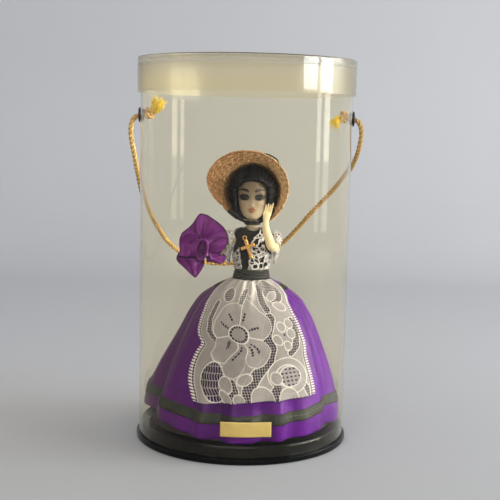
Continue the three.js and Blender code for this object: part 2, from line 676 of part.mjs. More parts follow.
// Head on a neck plug, by height: half width, front depth, back depth.
const HEAD_SHAPE = [
  [31, 3.3, 3.4, 3.4], [32, 3.6, 6.6, 4], [32.7, 4.4, 8.4, 4.8], [34, 5.6, 9, 6.2], [37, 7, 9.3, 8],
  [41, 8, 9.2, 9.2], [45, 8.4, 9.2, 9.8], [49, 8.4, 8.9, 9.7], [52.6, 7.4, 7.8, 8.8], [55.6, 5, 5.4, 6.2],
  [57, 2, 2.2, 2.6],
];
function headSolid(grow) {
  return skin(HEAD_SHAPE.map(([z, half, front, back], i) => ringOf(FINE, (turn) => {
    const depth = Math.cos(turn) > 0 ? front : back;
    const lift = i === HEAD_SHAPE.length - 1 ? grow : 0;
    return vec((half + grow) * Math.sin(turn), -(depth + grow) * Math.cos(turn), z + lift);
  })));
}
const nose = limb([[0, -8.4, 42.6, 0.5], [0, -9.2, 40.6, 0.85], [0, -9.6, 39.2, 1.05], [0, -9, 38.2, 0.6]], 8, 8);
const neckLow = NECK_TOP - NECK_SOCKET;
add('head', join(headSolid(0), rod('z', NECK_RADIUS, neckLow, 33), nose), 'skin_plastic', upper);

// Hair: a rounded cap hollowed for the head and opened at the face.
const [hairX, hairY, hairZ] = HAIR_CENTRE;
function hairSolid(grow) {
  const rows = [];
  for (let i = 0; i <= 12; i += 1) {
    const rise = (Math.PI * i) / 12;
    rows.push([i % 12 === 0 ? 0 : Math.sin(rise), Math.cos(rise)]);
  }
  return spin(rows, FINE, (r, h, turn) => vec(
    hairX + (HAIR_HALF_WIDTH + grow) * r * Math.cos(turn),
    hairY + (HAIR_HALF_DEPTH + grow) * r * Math.sin(turn),
    hairZ + (HAIR_HALF_HEIGHT + grow) * h,
  ));
}
const faceWindow = rod('y', 1, 0, 30, FINE).scale(FACE_HALF_WIDTH, -1, FACE_HALF_HEIGHT);
faceWindow.translate(0, 0, FACE_HEIGHT);
const napeBore = rod('z', NECK_RADIUS + 2.4, 20, 34, FINE);
add('hair', cut(hairSolid(0), headSolid(SEAT + 0.15), faceWindow, napeBore), 'hair_black', upper);

// Bonnet: a crown round the hair and a brim whose reach changes round the face.
const CROWN = [-0.3, 45.8];
const crownInner = HAIR_HALF_HEIGHT + CROWN_SPACE;
const crownBack = hairY + HAIR_HALF_DEPTH + SEAT + 0.4;
// Turn from the wearer's left toward the top, and how far the edge lies from the middle of the crown.
const BRIM_REACH = [
  [-51, 17.4], [-13, 17.8], [8, 18.9], [35, 19.6], [63, 20.5], [95, 22], [120, 23.8], [141, 25], [165, 25],
  [178, 22.4], [190, 20], [205, 17.2], [219, 16.4], [270, 16.2], [309, 17.4],
];
function hatPoint(r, y, turn, flare = 0) {
  const degrees = THREE.MathUtils.radToDeg(turn);
  const [reach] = between(BRIM_REACH, degrees > 309 ? degrees - 360 : degrees);
  const radius = mix(r, reach, flare);
  return vec(CROWN[0] + radius * Math.cos(turn), y, CROWN[1] + radius * Math.sin(turn));
}
const domeOf = (r, back) => [0, 0.3, 0.58, 0.8, 0.94, 1].map((t) => [r * t, mix(3, back, Math.sqrt(1 - t * t))]);
const napeOpening = rod('y', 9, -20, 30, FINE);
napeOpening.translate(0, 0, 30.5);
add('hat', cut(spin([
  ...domeOf(crownInner, crownBack),
  [crownInner, -0.6],
  [crownInner, -BRIM_FORWARD * 0.72, 0.55],
  [crownInner, -BRIM_FORWARD, 1],
  [crownInner, -BRIM_FORWARD + STRAW, 1],
  [crownInner + STRAW, -BRIM_FORWARD * 0.72 + STRAW, 0.55],
  [crownInner + STRAW, 0.4],
  ...domeOf(crownInner + STRAW, crownBack + STRAW).reverse(),
], 36, hatPoint), napeOpening), 'straw', upper);

// Ribbon round the crown, with a loop that stands up beside the brim.
const ribbonInner = crownInner + STRAW + SEAT;
add('hat_ribbon', cut(spin([
  [ribbonInner, 1.2],
  [ribbonInner + RIBBON, 1.2],
  [ribbonInner + RIBBON, 4.6],
  [ribbonInner, 4.6],
], 48, (r, y, turn) => {
  const loop = 4.6 * Math.exp(-(((THREE.MathUtils.radToDeg(turn) - 50) / 17) ** 2));
  return hatPoint(r + loop, y, turn);
}), napeOpening), 'ribbon_dark', upper);

// Neck ribbon and its two ends up to the brim.
const CHOKER = [29, 31];
const chokerInner = NECK_RADIUS + CLOTH_GAP;
add('choker', spin([
  [chokerInner, CHOKER[0]],
  [chokerInner + 0.7, CHOKER[0]],
  [chokerInner + 0.7, CHOKER[1] - 0.3],
  [chokerInner, CHOKER[1] - 0.3],
], FINE), 'ribbon_dark', upper);

const tieRoute = new THREE.CatmullRomCurve3([
  vec(-12.7, -6.7, 36.2), vec(-9.6, -7.3, 34), vec(-6.2, -6.5, 31.6), vec(-3.4, -3.5, 29.9),
]);
function tiePoint(u, v, layer) {
  const p = tieRoute.getPoint(v);
  const along = tieRoute.getTangent(v);
  const out = vec(-0.35, -0.9, -0.3).addScaledVector(along, -along.dot(vec(-0.35, -0.9, -0.3))).normalize();
  const side = along.clone().cross(out);
  return p.addScaledVector(side, (u - 0.5) * mix(2.6, 1.6, v)).addScaledVector(out, (layer - 0.5) * RIBBON);
}
const tie = sheet(tiePoint, 2, 10);
add('right_tie', tie, 'ribbon_dark', upper);
add('left_tie', tie.clone().scale(-1, 1, 1), 'ribbon_dark', upper);

// Pendant: a flat cross below its eye, hung on a stitch in front of the bodice.
const arm1 = CROSS_BAR / 2;
const barTop = -EYE_RADIUS - EYE_WIRE * 0.4;
const barLow = barTop - CROSS_LENGTH + EYE_RADIUS;
const barMid = barTop - CROSS_LENGTH * 0.34;
const crossShape = new THREE.Shape([
  [-arm1, barTop], [-arm1, barMid + arm1], [-CROSS_SPAN / 2, barMid + arm1], [-CROSS_SPAN / 2, barMid - arm1],
  [-arm1, barMid - arm1], [-arm1, barLow], [arm1, barLow], [arm1, barMid - arm1],
  [CROSS_SPAN / 2, barMid - arm1], [CROSS_SPAN / 2, barMid + arm1], [arm1, barMid + arm1], [arm1, barTop],
].map(([x, y]) => new THREE.Vector2(x, y)));
const bevel = CROSS_THICK * 0.22;
const crossBody = new THREE.ExtrudeGeometry(crossShape, {
  depth: CROSS_THICK - 2 * bevel, bevelThickness: bevel, bevelSize: bevel, bevelOffset: -bevel, bevelSegments: 1,
});
crossBody.translate(0, 0, bevel - CROSS_THICK / 2);
const eye = new THREE.TorusGeometry(EYE_RADIUS, EYE_WIRE, 6, 18);
const pendant = join(crossBody, eye).rotateX(Math.PI / 2);
pendant.rotateY(-radians(CROSS_TILT));
const bustDepth = Math.max(...TORSO_SHAPE.map(([, , front]) => front));
const crossY = -(bustDepth + laceNear + LACE + CLOTH_GAP + CROSS_THICK / 2);
const CROSS_AT = [-3.9, 22.3];
add('cross_pendant', pendant, 'gilt', upper).position.set(CROSS_AT[0], crossY, CROSS_AT[1]);
const stitchFrom = torsoPoint(Math.asin(CROSS_AT[0] / SHOULDER_HALF), CROSS_AT[1], CLOTH_GAP + VELVET + 2 * SEAT).y;
const stitch = rod('y', STITCH_RADIUS, -stitchFrom, -crossY + CROSS_THICK * 0.7, 12).scale(1, -1, 1);
add('cross_stitch', stitch, 'ribbon_dark', upper).position.set(CROSS_AT[0], 0, CROSS_AT[1]);

// Flower: ribbon petals in layers round a rolled centre, wired to a stem beside the hand.
const flower = new THREE.Group();
flower.name = 'ribbon_flower';
flower.position.set(-26.2, -12.4, 17.8);
upper.add(flower);
// Each petal: turn in the flower's plane, length, half width, layer from the back, cup of its rim.
const PETALS = {
  petal_tail: [226, 18, 6, 0, 1.2],
  petal_top: [80, 17.6, 11, 1, 2],
  petal_right: [-8, 14.6, 7.4, 2, 1.6],
  petal_left: [160, 14.2, 8.2, 3, 1.6],
  petal_low: [-52, 14, 6, 4, 1.2],
};
function petalPoint([angle, length, half, layer, cup], u, v, far) {
  const turn = radians(angle);
  const along = mix(0.4, length, v);
  const bulge = Math.sin(Math.PI * Math.min(1, 0.12 + 0.83 * v)) ** 0.6;
  const across = (u - 0.5) * 2 * half * Math.max(0.16, bulge);
  const ripple = 0.35 * Math.sin(Math.PI * 3 * u) * v;
  const depth = -layer * PETAL_STEP - cup * v * v * 0.35 - ripple * 0.5 - far * PETAL_CLOTH;
  return vec(
    along * Math.cos(turn) - across * Math.sin(turn),
    depth,
    along * Math.sin(turn) + across * Math.cos(turn),
  );
}
Object.entries(PETALS).forEach(([name, petal]) => {
  add(name, sheet((u, v, layer) => petalPoint(petal, u, v, layer), 6, 7), 'petal_plum', flower);
});
const budRows = [0, 0.16, 0.36, 0.6, 0.82, 1].map((t) => [Math.sin(Math.PI * t), -Math.cos(Math.PI * t)]);
budRows[0][0] = 0;
budRows[5][0] = 0;
const bud = spin(budRows, 20, (r, h, turn) => {
  const pleat = 1 + 0.12 * Math.cos(5 * turn + 2 * h);
  return vec(BUD[0] * r * pleat * Math.cos(turn), BUD[1] * r * pleat * Math.sin(turn), BUD[2] * h);
});
const budDepth = 4 * PETAL_STEP + PETAL_CLOTH + SEAT + BUD[1] * 0.94;
add('flower_bud', bud, 'petal_plum', flower).position.set(-0.4, -budDepth, -0.6);
const stemLow = -11;
const stem = rod('z', STEM_RADIUS, stemLow, 2, 10);
add('flower_stem', stem, 'ribbon_dark', flower).position.set(0.6, STEM_RADIUS + SEAT, 0);

export default doll;
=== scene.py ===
"""Costume doll on a plug base in a clear display tube with a lid and a carrying cord.

Lengths are millimetres until a mesh is made. +Z is up and the doll looks along -Y.
"""

import math

import bmesh
import bpy
import numpy as np
from mathutils import Matrix, Vector


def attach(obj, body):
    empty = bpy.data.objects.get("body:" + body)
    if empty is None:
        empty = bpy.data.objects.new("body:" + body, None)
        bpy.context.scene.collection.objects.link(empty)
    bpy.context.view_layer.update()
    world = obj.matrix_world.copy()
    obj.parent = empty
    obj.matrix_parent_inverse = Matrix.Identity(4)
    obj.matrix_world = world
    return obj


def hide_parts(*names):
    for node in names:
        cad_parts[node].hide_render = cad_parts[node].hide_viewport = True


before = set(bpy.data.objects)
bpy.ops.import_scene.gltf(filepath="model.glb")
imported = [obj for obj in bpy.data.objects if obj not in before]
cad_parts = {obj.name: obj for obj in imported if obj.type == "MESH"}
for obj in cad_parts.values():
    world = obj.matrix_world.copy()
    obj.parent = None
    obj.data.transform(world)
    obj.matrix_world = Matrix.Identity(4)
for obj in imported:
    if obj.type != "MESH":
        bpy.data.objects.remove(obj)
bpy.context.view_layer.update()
scene = bpy.context.scene
scene.view_settings.view_transform = "Standard"
MM = 0.001
SAME_PLACE = 2e-6
TAU = 2 * np.pi

# Sizes of the case and of the doll's seats in it.
TUBE_RADIUS, TUBE_WALL = 55.2, 0.5
LID_RADIUS, LID_INNER = 56.8, 56.0
CASE_HEIGHT, LID_HEIGHT, LEDGE, LEDGE_RADIUS = 200.0, 17.6, 195.4, 54.6
FLANGE_RADIUS, FLANGE_HEIGHT, PLUG_RADIUS, PLUG_TOP = 56.6, 3.2, 54.3, 9.3
EYELET_HEIGHT, EYELET_HOLE = 170.8, 3.1
HEM, WAIST, HEM_RADIUS, LEAN = 9.6, 86.2, 53.45, 4.2
UPPER = np.array([LEAN, 0, WAIST])
SHOULDER = np.array([LEAN, -0.5, WAIST + 19.5])
FLOWER = np.array([-22.0, -12.4, 104.0])


def colour(red, green, blue):
    """A display colour of 0 to 255 per channel as the linear colour that a shader takes."""
    c = np.array([red, green, blue]) / 255
    return (*np.where(c < 0.04045, c / 12.92, ((c + 0.055) / 1.055) ** 2.4), 1.0)


def ease(x, low, high):
    """Smooth step: 0 below low, 1 above high, a cubic between."""
    t = np.clip((x - low) / (high - low), 0, 1)
    return t * t * (3 - 2 * t)


def mix(a, b, t):
    """Value between two values by a share."""
    return a + (b - a) * t


def bump(x, centre, half):
    """Bell curve of height 1 about a centre."""
    return np.exp(-(((x - centre) / half) ** 2))


def curve(at, knots, values):
    """Cubic Hermite curve through values at knots, with slopes from the neighbouring knots."""
    knots = np.asarray(knots, float)
    values = np.asarray(values, float)
    slopes = np.gradient(values, knots, axis=0)
    at = np.clip(at, knots[0], knots[-1])
    k = np.clip(np.searchsorted(knots, at, side="right") - 1, 0, len(knots) - 2)
    width = knots[k + 1] - knots[k]
    t = (at - knots[k]) / width
    if values.ndim > 1:
        t, width = t[..., None], width[..., None]
    return (
        values[k] * (1 + 2 * t) * (1 - t) ** 2
        + slopes[k] * width * t * (1 - t) ** 2
        + values[k + 1] * t * t * (3 - 2 * t)
        + slopes[k + 1] * width * t * t * (t - 1)
    )


def table(at, rows):
    """Smooth curve through rows of [position, value]."""
    rows = np.asarray(rows, float)
    return curve(at, rows[:, 0], rows[:, 1])


def unit(vectors):
    """Vectors scaled to a length of 1."""
    vectors = np.asarray(vectors, float)
    return vectors / np.linalg.norm(vectors, axis=-1, keepdims=True)


def circle(count):
    """Even turns once round."""
    return np.linspace(0, TAU, count, endpoint=False)


def run_length(path):
    """Length along a path up to each of its points."""
    return np.concatenate([[0], np.cumsum(np.linalg.norm(np.diff(path, axis=0), axis=1))])


def route(points, count):
    """Points spaced evenly along the smooth curve through a list of points."""
    points = np.asarray(points, float)
    chord = np.linalg.norm(np.diff(points[:, :3], axis=0), axis=1)
    knots = np.concatenate([[0], np.cumsum(np.sqrt(chord))])
    fine = curve(np.linspace(0, knots[-1], count * 12), knots, points)
    length = run_length(fine[:, :3])
    even = np.linspace(0, length[-1], count)
    return np.stack([np.interp(even, length, fine[:, k]) for k in range(points.shape[1])], -1)


def frames(path, toward):
    """Side and front along a path: the side is the given direction less its part along the path."""
    along = unit(np.gradient(path, axis=0))
    toward = np.asarray(toward, float)
    side = unit(toward - along * (toward * along).sum(-1, keepdims=True))
    return side, np.cross(along, side)


def sweep(path, side, front, turn, wide, deep):
    """Rings round a path: its points plus wide cosines along the side and deep sines along the front."""
    across = wide[..., None] * np.cos(turn)[:, None] * side[..., None, :]
    return path[..., None, :] + across + deep[..., None] * np.sin(turn)[:, None] * front[..., None, :]


def wander(x, y, seed=0, octaves=3):
    """Soft uneven field: a sum of plane waves whose directions come from the golden angle."""
    total = np.zeros(np.broadcast(x, y).shape)
    for k in range(octaves * 3):
        angle = 2.399963 * (k + 1 + 3.7 * seed)
        scale = 1.55 ** (k / 2)
        total += np.sin(scale * (x * np.cos(angle) + y * np.sin(angle)) + 5.1 * k + seed) / scale
    return total / 2.2


# Mesh making


def weave_faces(rows, cols, wrap_rows=False, wrap_cols=False):
    """Quads of a grid of points and the (u, v) of their corners, closed on itself where wrapped."""
    r, c = np.meshgrid(
        np.arange(rows if wrap_rows else rows - 1), np.arange(cols if wrap_cols else cols - 1), indexing="ij"
    )
    down = np.stack([r, r, r + 1, r + 1], -1).reshape(-1, 4)
    over = np.stack([c, c + 1, c + 1, c], -1).reshape(-1, 4)
    faces = (down % rows) * cols + over % cols
    wide, tall = max(1, cols - (not wrap_cols)), max(1, rows - (not wrap_rows))
    return faces, np.stack([over / wide, down / tall], -1)


def make_piece(name, points, faces, uv=None, marks=None, outward=True):
    """Object at the origin from points in millimetres. Doubles are merged and closed shapes face outward."""
    mesh = bpy.data.meshes.new(name)
    faces = np.asarray(faces)
    points = np.asarray(points, float).reshape(-1, 3) * MM
    mesh.vertices.add(len(points))
    mesh.vertices.foreach_set("co", points.ravel())
    mesh.loops.add(faces.size)
    mesh.loops.foreach_set("vertex_index", faces.ravel().astype(np.int32))
    mesh.polygons.add(len(faces))
    mesh.polygons.foreach_set("loop_start", np.arange(0, faces.size, faces.shape[1], dtype=np.int32))
    mesh.update(calc_edges=True)
    if uv is not None:
        layer = mesh.uv_layers.new(name="UVMap")
        layer.data.foreach_set("uv", np.asarray(uv, np.float32).reshape(-1))
    for label, values in (marks or {}).items():
        values = np.asarray(values, np.float32)
        if values.ndim > 1:
            spot = mesh.attributes.new(label, "FLOAT_COLOR", "POINT")
            full = np.concatenate([values.reshape(-1, 3), np.ones((len(points), 1), np.float32)], 1)
            spot.data.foreach_set("color", full.ravel())
        else:
            spot = mesh.attributes.new(label, "FLOAT", "POINT")
            spot.data.foreach_set("value", values.ravel())
    work = bmesh.new()
    work.from_mesh(mesh)
    bmesh.ops.remove_doubles(work, verts=work.verts, dist=SAME_PLACE)
    if outward:
        bmesh.ops.recalc_face_normals(work, faces=work.faces)
    work.to_mesh(mesh)
    work.free()
    mesh.shade_smooth()
    mesh.validate()
    piece = bpy.data.objects.new(name, mesh)
    scene.collection.objects.link(piece)
    return piece


def grid_piece(name, points, wrap_rows=False, wrap_cols=False, marks=None, outward=True):
    """A piece from a grid of points of shape rows, columns, 3."""
    rows, cols = points.shape[:2]
    faces, uv = weave_faces(rows, cols, wrap_rows, wrap_cols)
    flat_marks = {}
    for label, values in (marks or {}).items():
        flat_marks[label] = np.reshape(values, (rows * cols, *np.shape(values)[2:]))
    return make_piece(name, points, faces, uv, flat_marks, outward)


def bundle_piece(name, points, label, values):
    """A piece of many thin tubes, from points of shape tubes, steps, sides, 3, with a mark for each tube."""
    count, steps, sides = points.shape[:3]
    faces, uv = weave_faces(steps, sides, wrap_cols=True)
    every = (np.arange(count)[:, None, None] * steps * sides + faces).reshape(-1, 4)
    marks = {label: np.repeat(values, steps * sides)}
    return make_piece(name, points, every, np.tile(uv, (count, 1, 1)), marks)


def thicken(piece, millimetres, offset=-1.0):
    """Gives an open sheet its thickness, from its face inward for offset -1."""
    wall = piece.modifiers.new("thickness", "SOLIDIFY")
    wall.thickness = millimetres * MM
    wall.offset = offset
    return piece


def fit(piece, body, finish, slot, *nodes):
    """Gives a piece its finish, the body it moves with and the solids it stands for."""
    piece.data.materials.clear()
    piece.data.materials.append(finish)
    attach(piece, body)
    if nodes:
        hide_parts(*nodes)
    return piece


def crisp(profile, edge):
    """A profile with a point close to each side of every corner, so that smooth shading keeps the corner."""
    corner = np.asarray(profile, float)
    near = []
    for neighbour in (1, -1):
        way = np.roll(corner, neighbour, 0) - corner
        share = np.minimum(0.45, edge / np.maximum(1e-9, np.linalg.norm(way, axis=1)))
        near.append(corner + way * share[:, None])
    return np.stack([near[0], corner, near[1]], 1).reshape(-1, 2)


def turned(profile, sides):
    """A profile of [radius, height] turned round +Z."""
    turn = circle(sides)
    r, z = profile[:, :1], profile[:, 1:]
    return np.stack([r * np.cos(turn), r * np.sin(turn), z + 0 * turn], -1)


CELL_SHAPES = {
    1: "aeh", 2: "ebf", 3: "abfh", 4: "fcg", 5: "aefcgh", 6: "ebcg", 7: "abcgh", 8: "gdh",
    9: "aegd", 10: "ebfgdh", 11: "abfgd", 12: "hfcd", 13: "aefcd", 14: "ebcdh", 15: "abcd",
}


def crossing(first, second):
    """Share of the way between two values at which zero lies, kept off both ends."""
    return np.clip(first / np.where(first == second, 1, first - second), 0.08, 0.92)


def cut_cloth(xs, ys, field):
    """Triangles of the part of a flat grid where the field is above zero.

    Each square is cut along the straight line between the zero crossings on its sides.
    """
    rows, cols = field.shape
    gx, gy = np.meshgrid(xs, ys)
    inside = field > 0
    x_side = mix(gx[:, :-1], gx[:, 1:], crossing(field[:, :-1], field[:, 1:]))
    y_rise = mix(gy[:-1], gy[1:], crossing(field[:-1], field[1:]))
    x = np.concatenate([gx.ravel(), x_side.ravel(), gx[:-1].ravel()])
    y = np.concatenate([gy.ravel(), gy[:, :-1].ravel(), y_rise.ravel()])
    corner = np.arange(rows * cols).reshape(rows, cols)
    side = corner.size + np.arange(x_side.size).reshape(x_side.shape)
    rise = corner.size + side.size + np.arange(y_rise.size).reshape(y_rise.shape)
    ids = {
        "a": corner[:-1, :-1], "b": corner[:-1, 1:], "c": corner[1:, 1:], "d": corner[1:, :-1],
        "e": side[:-1], "f": rise[:, 1:], "g": side[1:], "h": rise[:, :-1],
    }
    kind = inside[:-1, :-1] + 2 * inside[:-1, 1:] + 4 * inside[1:, 1:] + 8 * inside[1:, :-1]
    parts = []
    for code, shape in CELL_SHAPES.items():
        here = kind == code
        for k in range(1, len(shape) - 1):
            parts.append(np.stack([ids[shape[0]][here], ids[shape[k]][here], ids[shape[k + 1]][here]], -1))
    used, triangles = np.unique(np.concatenate(parts), return_inverse=True)
    return x[used], y[used], triangles.reshape(-1, 3)


def cut_piece(name, xs, ys, field, place, thick, offset=-1.0, flat=(1.0, 1.0)):
    """A sheet cut from a flat grid where the field is above zero, then placed and made thick.

    The place turns flat coordinates into points and marks. The flat scale turns them into the flat map.
    """
    x, y, triangles = cut_cloth(xs, ys, field)
    points, marks = place(x, y)
    uv = np.stack([x * flat[0], y * flat[1]], -1)[triangles]
    return thicken(make_piece(name, points, triangles, uv, marks, outward=False), thick, offset)


# Shader making


def put(tree, kind, values=None, **settings):
    """A node with its settings and inputs. An input given as a socket is linked."""
    node = tree.nodes.new(kind)
    for key, value in settings.items():
        setattr(node, key, value)
    for key, value in (values or {}).items():
        if isinstance(value, bpy.types.NodeSocket):
            tree.links.new(value, node.inputs[key])
        else:
            node.inputs[key].default_value = value
    return node


def sums(tree, operation, a, b=0.0, clamp=False):
    """A sum, difference, product or sine of values that change over the surface."""
    return put(tree, "ShaderNodeMath", {0: a, 1: b}, operation=operation, use_clamp=clamp).outputs[0]


def weighted(tree, first, first_weight, second, second_weight):
    """The sum of two values, each times its weight."""
    parts = [sums(tree, "MULTIPLY", first, first_weight), sums(tree, "MULTIPLY", second, second_weight)]
    return sums(tree, "ADD", *parts)


def blend_colour(tree, amount, first, second):
    """Colour between two colours by a value that changes over the surface."""
    values = {0: amount, 6: first, 7: second}
    return put(tree, "ShaderNodeMix", values, data_type="RGBA", clamp_factor=True).outputs[2]


def own_place(tree):
    """The place on the piece."""
    return put(tree, "ShaderNodeTexCoord").outputs["Object"]


def own_mark(tree, label, output="Fac"):
    """One of the piece's marks."""
    return put(tree, "ShaderNodeAttribute", attribute_name=label).outputs[output]


def new_group(name, inputs):
    """An empty shader group with named value inputs, whose outputs are a tone and a height."""
    tree = bpy.data.node_groups.new(name, "ShaderNodeTree")
    for label in inputs:
        tree.interface.new_socket(label, in_out="INPUT", socket_type="NodeSocketFloat")
    for label in ("Tone", "Height"):
        tree.interface.new_socket(label, in_out="OUTPUT", socket_type="NodeSocketFloat")
    return tree, tree.nodes.new("NodeGroupInput").outputs, tree.nodes.new("NodeGroupOutput").inputs


def make_grain():
    """Grain: two sizes of noise on the piece, as a tone and a height."""
    tree, given, out = new_group("grain", ["Scale"])
    place = own_place(tree)
    wide_scale = sums(tree, "MULTIPLY", given[0], 0.18)
    wide = put(tree, "ShaderNodeTexNoise", {"Vector": place, "Scale": wide_scale}).outputs[0]
    fine = put(tree, "ShaderNodeTexNoise", {"Vector": place, "Scale": given[0], "Detail": 3.0}).outputs[0]
    tree.links.new(weighted(tree, wide, 0.6, fine, 0.4), out[0])
    tree.links.new(fine, out[1])
    return tree


def make_threads():
    """Woven threads: two crossed sine ribs over the piece's own flat map, one for each direction."""
    tree, given, out = new_group("threads", ["Across", "Along"])
    flat = put(tree, "ShaderNodeSeparateXYZ", {0: put(tree, "ShaderNodeUVMap").outputs[0]})
    ribs = []
    for axis in (0, 1):
        turn = sums(tree, "MULTIPLY", flat.outputs[axis], sums(tree, "MULTIPLY", given[axis], TAU))
        ribs.append(sums(tree, "SINE", turn))
    height = sums(tree, "ADD", weighted(tree, ribs[0], 0.25, ribs[1], 0.25), 0.5)
    drift = put(tree, "ShaderNodeTexNoise", {"Vector": own_place(tree), "Scale": 260.0}).outputs[0]
    tree.links.new(sums(tree, "MULTIPLY", height, sums(tree, "ADD", drift, 0.5)), out[0])
    tree.links.new(height, out[1])
    return tree


GRAIN = make_grain()
THREADS = make_threads()


def new_finish(name, **plain):
    """A material with one Principled surface and its plain socket values."""
    material = bpy.data.materials.new(name)
    material.use_nodes = True
    tree = material.node_tree
    surface = tree.nodes["Principled BSDF"]
    for key, value in plain.items():
        surface.inputs[key.replace("_", " ")].default_value = value
    return material, tree, surface


def use_group(tree, group, *values):
    """Tone and height of a shader group for its values."""
    return put(tree, "ShaderNodeGroup", dict(enumerate(values)), node_tree=group).outputs


def raise_surface(tree, surface, height, strength, depth):
    """Feeds a height into the surface's normal, with its depth in millimetres."""
    lift = put(tree, "ShaderNodeBump", {"Strength": strength, "Distance": depth * MM, "Height": height})
    tree.links.new(lift.outputs[0], surface.inputs["Normal"])


def dress(finish, base, tone, rough, height, strength, depth):
    """Gives a finish its colour, its roughness between two values by a tone, and its height."""
    material, tree, surface = finish
    tree.links.new(base, surface.inputs["Base Color"])
    span = {"Value": tone, "From Min": 0.3, "From Max": 0.7, "To Min": rough[0], "To Max": rough[1]}
    tree.links.new(put(tree, "ShaderNodeMapRange", span).outputs[0], surface.inputs["Roughness"])
    raise_surface(tree, surface, height, strength, depth)
    return material


def grained(name, dark, light, rough, scale, depth, **plain):
    """A finish whose colour, roughness and height follow the grain."""
    finish = new_finish(name, **plain)
    tree = finish[1]
    tone, height = use_group(tree, GRAIN, scale)
    base = blend_colour(tree, tone, colour(*dark), colour(*light))
    return dress(finish, base, tone, rough, height, 0.5, depth)


def woven(name, dark, light, threads, rough, depth, marks=(), **plain):
    """A cloth finish with ribs along the flat map, uneven in tone, and other colours where marked."""
    finish = new_finish(name, **plain)
    tree = finish[1]
    tone, height = use_group(tree, THREADS, *threads)
    stain = use_group(tree, GRAIN, 220.0)[0]
    base = blend_colour(tree, weighted(tree, tone, 0.55, stain, 0.5), colour(*dark), colour(*light))
    for label, paint in marks:
        base = blend_colour(tree, own_mark(tree, label), base, colour(*paint))
    return dress(finish, base, stain, rough, height, 0.6, depth)


def clear_plastic(name, tint, wave):
    """Clear yellowed sheet: tinted and smudged, matt where marked. Lamps reach what is behind it."""
    material, tree, surface = new_finish(name, Base_Color=tint, Transmission_Weight=1.0, IOR=1.24)
    smudge = use_group(tree, GRAIN, 60.0)[0]
    tree.links.new(weighted(tree, smudge, 0.05, own_mark(tree, "matt"), 0.3), surface.inputs["Roughness"])
    stretch = put(tree, "ShaderNodeMapping", {"Vector": own_place(tree), "Scale": (1, 1, 0.06)}).outputs[0]
    ripple = put(tree, "ShaderNodeTexNoise", {"Vector": stretch, "Scale": 55.0, "Detail": 1.0})
    raise_surface(tree, surface, ripple.outputs[0], wave, 0.6)
    open_way = put(tree, "ShaderNodeBsdfTransparent", {0: tint})
    shadow = put(tree, "ShaderNodeLightPath").outputs["Is Shadow Ray"]
    both = put(tree, "ShaderNodeMixShader", {0: shadow, 1: surface.outputs[0], 2: open_way.outputs[0]})
    tree.links.new(both.outputs[0], tree.nodes["Material Output"].inputs[0])
    return material


def painted(name, rough, **plain):
    """A finish that takes its colour from the piece's own paint."""
    finish = new_finish(name, **plain)
    tree = finish[1]
    paint = own_mark(tree, "paint", "Color")
    tone, height = use_group(tree, GRAIN, 700.0)
    return dress(finish, paint, tone, rough, height, 0.25, 0.05)


def marked(name, label, first, second, rough, scale, depth, shade=0.45, ribs=None, **plain):
    """A finish between two colours by a mark, shaded by the grain and by ribs along the piece's flat map."""
    finish = new_finish(name, **plain)
    tree = finish[1]
    place = own_mark(tree, label)
    tone, height = use_group(tree, GRAIN, scale)
    dull = sums(tree, "MULTIPLY", tone, shade)
    if ribs:
        bare = sums(tree, "SUBTRACT", 1.0, place, True)
        rib = sums(tree, "MULTIPLY", use_group(tree, THREADS, ribs, 1.0)[1], bare)
        dull = sums(tree, "ADD", dull, sums(tree, "MULTIPLY", rib, 0.48))
    base = blend_colour(tree, place, colour(*first), colour(*second))
    base = blend_colour(tree, dull, base, colour(0, 0, 0))
    return dress(finish, base, tone, rough, height, 0.5, depth)


CLEAR_TUBE = clear_plastic("clear_tube", (1.0, 0.965, 0.85, 1), 0.14)
CLEAR_LID = clear_plastic("clear_lid", (1.0, 0.955, 0.84, 1), 0.05)
BASE_BLACK = grained("base_black", (2, 2, 2), (7, 8, 8), (0.14, 0.26), 160.0, 0.01, Specular_IOR_Level=0.2)
EYELET_BLACK = grained("eyelet_black", (14, 15, 16), (40, 40, 42), (0.2, 0.4), 700.0, 0.03)
# The cone under the skirt is coloured near black as painted shade where it shows below the hem.
DARK_SHADE_CARD = grained("cone_card_shade_dark", (34, 26, 38), (52, 42, 54), (0.7, 0.95), 500.0, 0.05)
LABEL = grained("label_foil", (192, 166, 98), (224, 200, 136), (0.3, 0.45), 240.0, 0.02, Metallic=0.35)
ARM_SKIN = grained("arm_skin", (218, 196, 158), (240, 221, 186), (0.34, 0.5), 300.0, 0.02)
# A darker, greyer copy of the arm skin for the torso and neck: painted shade under the head.
SHADED_TORSO_SKIN = grained("torso_skin_painted_shade", (128, 118, 108), (148, 138, 128), (0.5, 0.66), 300.0, 0.02)
VELVET = grained("bodice_velvet", (5, 5, 7), (19, 18, 23), (0.85, 1.0), 2500.0, 0.12, Sheen_Weight=0.15)
GILT = grained("cross_gilt", (220, 160, 90), (250, 204, 136), (0.2, 0.34), 900.0, 0.02, Metallic=0.85)
SKIN = painted("doll_skin", (0.5, 0.66), Specular_IOR_Level=0.3)
# The skirt's two marks are painted light: a dull plum on the doll's right for shade and warm reflection, and
# near black under the apron for shade.
SATIN = woven(
    "skirt_satin", (26, 0, 44), (108, 10, 166), (1400.0, 420.0), (0.3, 0.42), 0.02,
    [("flank_shade", (62, 22, 48)), ("hem", (12, 3, 20))],
    Specular_IOR_Level=0.4, Specular_Tint=colour(214, 176, 255),
)
